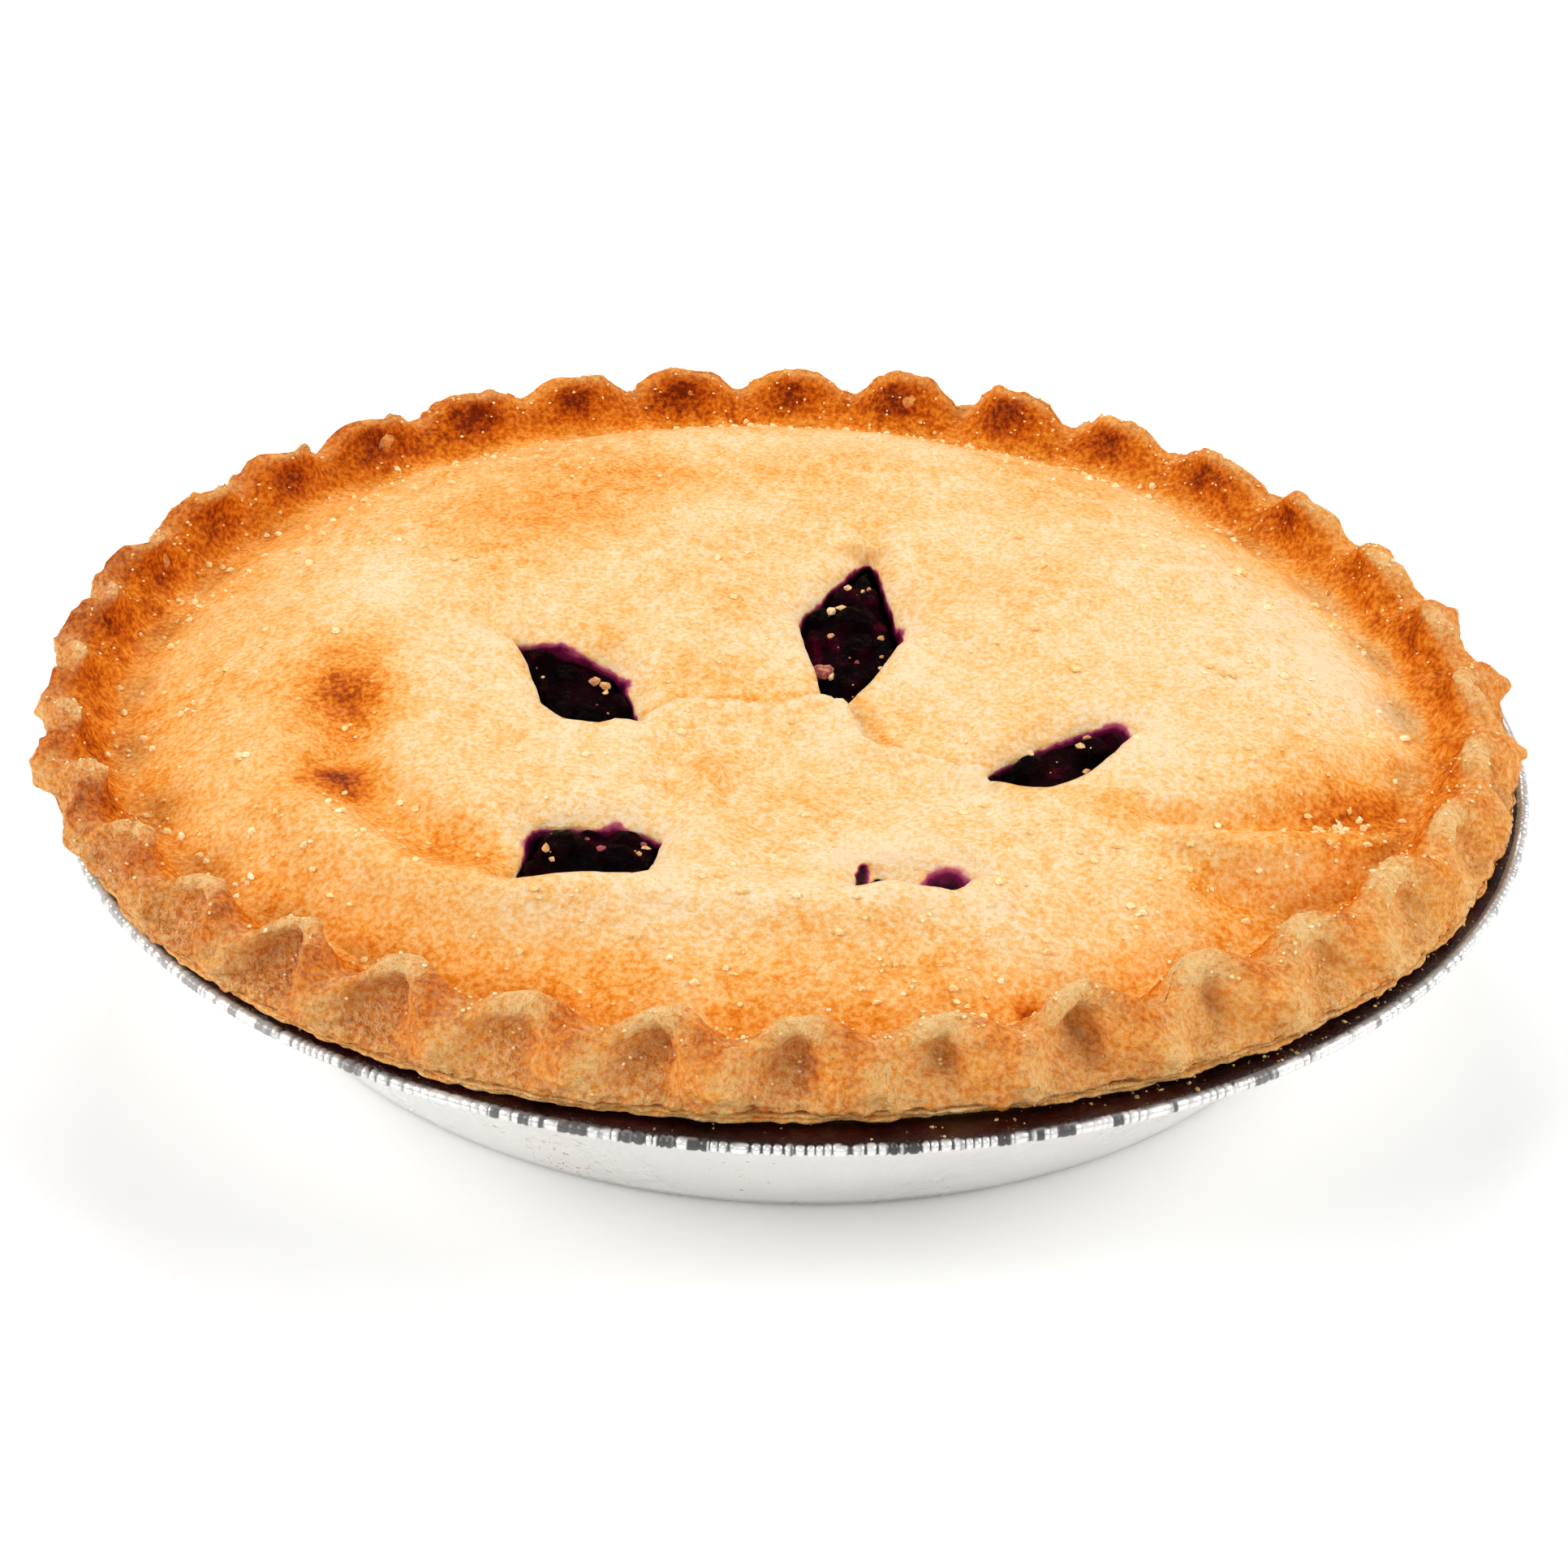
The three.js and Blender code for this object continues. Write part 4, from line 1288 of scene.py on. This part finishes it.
def make_crust_crumbs(crust, paint):
    chance = np.random.default_rng(CRUST_SEED)
    spots, normals = crust_spots(crust)
    x, y, z = spots.T
    inset = inset_at(x, y)
    facing = (normals[:, 2] > 0.25) & (z > SEAM + 1)
    gap = vent_gaps(x, y)[0]
    weight = 0.10 + 1.1 * bell(inset - 9, 6) + 0.5 * bell(inset - 22, 12) + 2.2 * bell(inset, 3)
    weight += 1.6 * bell(np.hypot(x - 84, y + 40), 13)
    weight *= (0.35 + np.maximum(0, noise(spots, 14, 110) + 0.4)) * facing * (gap > 0.8)
    weight *= np.where(inset > 10, 2.2, 0.8)
    pick = chance.choice(len(spots), CRUST_CRUMBS, replace=False, p=weight / weight.sum())
    sizes = 0.18 + 0.5 * chance.uniform(0, 1, len(pick)) ** 3.0 * (inset[pick] > 6) + 0.1
    shell = Shell()
    add_crumbs(shell, spots[pick] + normals[pick] * 0.25 * sizes[:, None], sizes, chance,
               tone=chance.uniform(0, 1, len(pick)))
    return shell.make("crust_crumbs", paint, smooth=False)


# Larger bits of pastry on the filling: x, y, size
FALLEN_BITS = [(4.2, 3.2, 1.5), (5.6, 1.6, 0.9), (3.4, 5.0, 0.8), (8.0, 27.0, 0.9), (5.4, 21.0, 0.9),
               (13.4, 14.0, 0.6), (-31.5, -3.6, 1.1), (-29.8, -4.6, 0.9), (-29.6, -6.0, 0.6),
               (-35.0, -57.0, 0.8), (-34.0, -58.4, 0.6), (-27.0, -56.0, 0.7), (43.4, -22.4, 0.7)]


def make_vent_crumbs(paint):
    """Bits of pastry that fell on the filling inside the vents."""
    chance = np.random.default_rng(VENT_SEED)
    shell = Shell()
    chosen = []
    for k, many in enumerate(VENT_CRUMBS):
        places = scattered(k, 200, 16, 1.6, chance)[:many]
        chosen += [(x, y, 0.16 + 0.6 * chance.uniform() ** 3) for x, y in places]
    chosen += FALLEN_BITS
    chosen = np.array(chosen)
    z = filling_height(*chosen[:, :2].T) + 0.3 * chosen[:, 2]
    add_crumbs(shell, np.column_stack([chosen[:, :2], z]), chosen[:, 2], chance,
               tone=chance.uniform(0, 1, len(chosen)))
    return shell.make("vent_crumbs", paint, smooth=False)


def make_flange_crumbs(paint):
    chance = np.random.default_rng(FLANGE_SEED)
    angle = np.radians(chance.uniform(0, 360, FLANGE_CRUMBS))
    keep = chance.uniform(0, 1, FLANGE_CRUMBS) < 0.12 + 0.88 * toward(angle, 318, 34)
    angle = angle[keep]
    radius = chance.uniform(109.5, 113.0, len(angle))
    sizes = 0.12 + 0.32 * chance.uniform(0, 1, len(angle)) ** 2.5
    shell = Shell()
    add_crumbs(shell, polar(radius, angle, 30.62 - 0.12 * (radius - 111)), sizes, chance,
               tone=chance.uniform(0, 1, len(angle)))
    return shell.make("flange_crumbs", paint, smooth=False)


# ---- Paints ----
def linear(red, green, blue):
    """A colour given as 0-255 display values, for a shader."""
    parts = [part / 255 for part in (red, green, blue)]
    return [p / 12.92 if p < 0.04045 else ((p + 0.055) / 1.055) ** 2.4 for p in parts] + [1.0]


class Paint:
    """The nodes of one material under construction."""

    def __init__(self, name):
        self.material = bpy.data.materials.new(name)
        self.material.use_nodes = True
        self.tree = self.material.node_tree
        self.tree.nodes.clear()
        self.shader = self.node("ShaderNodeBsdfPrincipled")
        output = self.node("ShaderNodeOutputMaterial")
        self.tree.links.new(self.shader.outputs["BSDF"], output.inputs["Surface"])
        self.coords = self.node("ShaderNodeTexCoord").outputs["Object"]

    def node(self, kind, **settings):
        made = self.tree.nodes.new(kind)
        for name, value in settings.items():
            setattr(made, name, value)
        return made

    def put(self, node, socket, value):
        if isinstance(value, bpy.types.NodeSocket):
            self.tree.links.new(value, node.inputs[socket])
        else:
            node.inputs[socket].default_value = value

    def set(self, **values):
        for name, value in values.items():
            self.put(self.shader, name.replace("_", " "), value)

    def math(self, operation, a, b):
        made = self.node("ShaderNodeMath", operation=operation)
        self.put(made, 0, a)
        self.put(made, 1, b)
        return made.outputs[0]

    def plus(self, a, b):
        return self.math("ADD", a, b)

    def times(self, a, b):
        return self.math("MULTIPLY", a, b)

    def grain(self, size, detail=3.0, roughness=0.55, stretch=None):
        """Noise from about 0.2 to 0.8, with blobs of a size in millimetres."""
        made = self.node("ShaderNodeTexNoise")
        where = self.coords
        if stretch:
            mapped = self.node("ShaderNodeMapping")
            self.put(mapped, "Vector", where)
            mapped.inputs["Scale"].default_value = stretch
            where = mapped.outputs[0]
        self.put(made, "Vector", where)
        for socket, value in (("Scale", 500 / size), ("Detail", detail), ("Roughness", roughness)):
            made.inputs[socket].default_value = value
        return made.outputs[0]

    def spread(self, value, low, high, to_low=0.0, to_high=1.0):
        made = self.node("ShaderNodeMapRange", interpolation_type="SMOOTHSTEP")
        for socket, number in (("Value", value), ("From Min", low), ("From Max", high),
                               ("To Min", to_low), ("To Max", to_high)):
            self.put(made, socket, number)
        return made.outputs[0]

    def mark(self, name):
        return self.node("ShaderNodeAttribute", attribute_name=name).outputs["Fac"]

    def ramp(self, value, stops):
        made = self.node("ShaderNodeValToRGB")
        self.put(made, "Fac", value)
        elements = made.color_ramp.elements
        while len(elements) < len(stops):
            elements.new(0.5)
        for element, (place, colour) in zip(elements, stops):
            element.position = place
            element.color = linear(*colour)
        return made.outputs["Color"]

    def mix(self, factor, a, b):
        made = self.node("ShaderNodeMix", data_type="RGBA")
        for place, value in ((0, factor), (6, a), (7, b)):
            if isinstance(value, bpy.types.NodeSocket):
                self.tree.links.new(value, made.inputs[place])
            else:
                made.inputs[place].default_value = value
        return made.outputs[2]

    def bump(self, height, depth):
        """Bump from a height in millimetres."""
        made = self.node("ShaderNodeBump")
        self.put(made, "Height", height)
        made.inputs["Distance"].default_value = 0.001 * depth
        self.set(Normal=made.outputs[0])


BAKE_STOPS = [
    (0.0, (234, 206, 166)),
    (0.18, (232, 187, 124)),
    (0.36, (231, 162, 80)),
    (0.52, (222, 133, 38)),
    (0.68, (200, 99, 9)),
    (0.84, (160, 66, 3)),
    (1.0, (108, 34, 4)),
]
CRUST_GLOSS = 0.04
FILLING_GLOSS = 0.12
FILLING_IOR = 1.12
JUICE_GLOSS = 0.3
FLOOR_GLOSS = 0.1
FLOUR_COLOUR = (240, 200, 140)
JUICE_STOPS = [(0.18, (226, 166, 132)), (0.34, (176, 80, 104)), (0.55, (100, 10, 52)),
               (0.85, (30, 2, 14))]


def stained(paint, colour):
    """The crust's colour with ragged juice stains over it, where its points carry them."""
    ragged = paint.spread(paint.grain(3.0, 3, 0.6), 0.3, 0.7, -0.16, 0.16)
    mark = paint.mark("stain")
    stain = paint.plus(mark, paint.times(ragged, paint.spread(mark, 0.0, 0.1)))
    return paint.mix(paint.spread(stain, 0.14, 0.36), colour, paint.ramp(stain, JUICE_STOPS))


def crust_paint(name):
    paint = Paint(name)
    patches = paint.grain(11, 2, 0.5, stretch=(1, 0.75, 1))
    mottle = paint.grain(1.2, 3, 0.66, stretch=(1, 0.65, 1))
    fine = paint.grain(0.42, 2, 0.6)
    lumps = paint.grain(3.4, 3, 0.55)
    flour = paint.mark("flour")
    calm = paint.spread(flour, 0.0, 0.2, 1.0, 0.3)
    freckles = paint.times(paint.spread(mottle, 0.34, 0.68, -0.06, 0.09),
                          paint.spread(patches, 0.36, 0.6, 0.5, 1.15))
    freckles = paint.plus(paint.times(freckles, calm),
                          paint.spread(fine, 0.3, 0.7, -0.13, 0.13))
    bake = paint.plus(paint.mark("bake"), paint.spread(patches, 0.3, 0.7, -0.04, 0.04))
    colour = paint.ramp(paint.plus(bake, freckles), BAKE_STOPS)
    dusty = paint.spread(paint.grain(0.5, 3, 0.7), 0.34, 0.66, 0.5, 1.6)
    dust = paint.spread(paint.times(flour, dusty), 0.0, 0.9, 0.0, 0.8)
    colour = stained(paint, paint.mix(dust, colour, linear(*FLOUR_COLOUR)))
    paint.set(Base_Color=colour, Roughness=paint.spread(dust, 0, 0.8, 0.5, 0.8),
              Specular_IOR_Level=CRUST_GLOSS)
    crumbly = paint.times(paint.grain(1.0, 4, 0.7), paint.spread(flour, 0.0, 0.5, 0.1, 1.7))
    height = paint.plus(paint.times(mottle, 0.45), paint.times(fine, 0.25))
    height = paint.plus(height, paint.times(lumps, 0.7))
    paint.bump(paint.plus(height, crumbly), 1.0)
    return paint.material


PALE_CRUMBS = [(0.0, (238, 192, 116)), (0.5, (248, 218, 152)), (1.0, (254, 236, 190))]
STAINED_CRUMBS = [(0.0, (150, 60, 70)), (0.3, (206, 140, 90)), (0.7, (226, 170, 96)),
                  (1.0, (244, 205, 150))]
GOLDEN_CRUMBS = [(0.0, (110, 84, 40)), (0.5, (186, 150, 84)), (1.0, (226, 200, 130))]


def crumb_paint(name, stops):
    paint = Paint(name)
    tone = paint.plus(paint.mark("tone"), paint.spread(paint.grain(0.5, 3), 0.3, 0.7, -0.2, 0.2))
    paint.set(Base_Color=paint.ramp(tone, stops), Roughness=0.8)
    paint.bump(paint.grain(0.3, 3), 0.15)
    return paint.material


def filling_paint():
    paint = Paint("berry_filling")
    skin = paint.grain(4.0, 4, 0.6)
    fine = paint.grain(0.9, 5, 0.7)
    colour = paint.ramp(skin, [(0.42, (5, 0, 1)), (0.58, (24, 1, 6)), (0.7, (84, 6, 30))])
    paint.set(Base_Color=colour, Roughness=paint.spread(fine, 0.3, 0.7, 0.05, 0.2), IOR=FILLING_IOR,
              Specular_IOR_Level=FILLING_GLOSS)
    paint.bump(paint.plus(paint.times(fine, 0.8), paint.times(skin, 1.2)), 1.5)
    return paint.material


def juice_paint():
    paint = Paint("burnt_juice")
    patch = paint.grain(7.0, 4, 0.6)
    fine = paint.grain(1.0, 4, 0.7)
    colour = paint.ramp(patch, [(0.4, (24, 3, 2)), (0.56, (50, 9, 5)), (0.7, (66, 40, 20))])
    colour = paint.mix(paint.spread(fine, 0.64, 0.74), colour, linear(140, 84, 34))
    paint.set(Base_Color=colour, Roughness=paint.spread(fine, 0.3, 0.7, 0.2, 0.5),
              Specular_IOR_Level=JUICE_GLOSS)
    paint.bump(paint.plus(fine, patch), 0.5)
    return paint.material


def foil_paint():
    paint = Paint("foil")
    haze = paint.grain(14.0, 4, 0.6)
    scratch = paint.grain(1.3, 4, 0.65, stretch=(1, 1, 0.35))
    drip = paint.grain(0.6, 3, 0.7, stretch=(1, 1, 0.7))
    wet = paint.times(paint.mark("splash"), 0.22)
    speck = paint.spread(paint.plus(drip, wet), 0.82, 0.86)
    metal = paint.mix(haze, linear(236, 234, 231), linear(247, 246, 243))
    # The bead's near-black: painted shade in its folds and painted dark reflections, with real burnt
    # juice
    soot = paint.mark("soot")
    colour = paint.mix(soot, paint.mix(speck, metal, linear(176, 126, 76)), linear(22, 14, 10))
    paint.set(Base_Color=colour, Roughness=paint.spread(haze, 0.3, 0.7, 0.22, 0.4),
              Metallic=paint.spread(paint.math("MAXIMUM", speck, soot), 0.0, 1.0, 0.5, 0.0))
    paint.bump(paint.plus(scratch, paint.times(paint.grain(5.0, 3), 2.0)), 0.22)
    return paint.material


def floor_paint():
    paint = Paint("floor")
    paint.set(Base_Color=paint.mix(paint.grain(300, 2), linear(250, 250, 249), linear(253, 253, 252)),
              Roughness=0.9, Specular_IOR_Level=FLOOR_GLOSS)
    return paint.material


# ---- Stage ----
SKY_LOW, SKY_HIGH = 0.08, 0.44
# Metres
FLOOR_REACH = 6.0
FLOOR_DROP = 0.0002
# name, place, width, height, power; each looks at the pie
LAMPS = [
    ("left_box", (-1.25, -0.40, 0.90), 1.1, 0.8, 18.0),
    ("right_box", (1.30, -0.05, 0.85), 1.0, 0.8, 16.5),
    ("back_box", (-0.1, 1.2, 1.0), 0.8, 0.6, 11.0),
    ("front_box", (0.1, -1.5, 0.75), 1.0, 0.5, 4.0),
]


def make_floor():
    mesh = bpy.data.meshes.new("floor")
    corners = [(-1, -1), (1, -1), (1, 1), (-1, 1)]
    points = [(x * FLOOR_REACH, y * FLOOR_REACH, -FLOOR_DROP) for x, y in corners]
    mesh.from_pydata(points, [], [(0, 1, 2, 3)])
    mesh.materials.append(floor_paint())
    placed("floor", mesh)


def make_world():
    """A plain studio, brighter upward."""
    world = bpy.data.worlds.new("studio")
    world.use_nodes = True
    tree = world.node_tree
    back = tree.nodes["Background"]
    back.inputs["Color"].default_value = (1, 1, 1, 1)
    split = tree.nodes.new("ShaderNodeSeparateXYZ")
    rise = tree.nodes.new("ShaderNodeMapRange")
    rise.inputs["To Min"].default_value = SKY_LOW
    rise.inputs["To Max"].default_value = SKY_HIGH
    tree.links.new(tree.nodes.new("ShaderNodeTexCoord").outputs["Generated"], split.inputs[0])
    tree.links.new(split.outputs["Z"], rise.inputs["Value"])
    tree.links.new(rise.outputs[0], back.inputs["Strength"])
    bpy.context.scene.world = world


def make_lamps():
    for name, place, width, height, power in LAMPS:
        data = bpy.data.lights.new(name, "AREA")
        data.shape = "RECTANGLE"
        data.size, data.size_y, data.energy = width, height, power
        back = np.array(place) / np.linalg.norm(place)
        across = np.cross([0, 0, 1.0], back)
        across /= np.linalg.norm(across)
        aim(placed(name, data), place, across, np.cross(back, across), back)


def main():
    make_camera()
    bpy.context.scene.view_settings.view_transform = "Standard"
    crust = make_top_crust(crust_paint("top_pastry"))
    make_bottom_crust(crust_paint("bottom_pastry"))
    make_filling(filling_paint())
    make_tin(foil_paint())
    make_juice(juice_paint())
    make_crust_crumbs(crust, crumb_paint("pale_crumbs", PALE_CRUMBS))
    make_vent_crumbs(crumb_paint("stained_crumbs", STAINED_CRUMBS))
    make_flange_crumbs(crumb_paint("golden_crumbs", GOLDEN_CRUMBS))
    make_floor()
    make_world()
    make_lamps()


main()
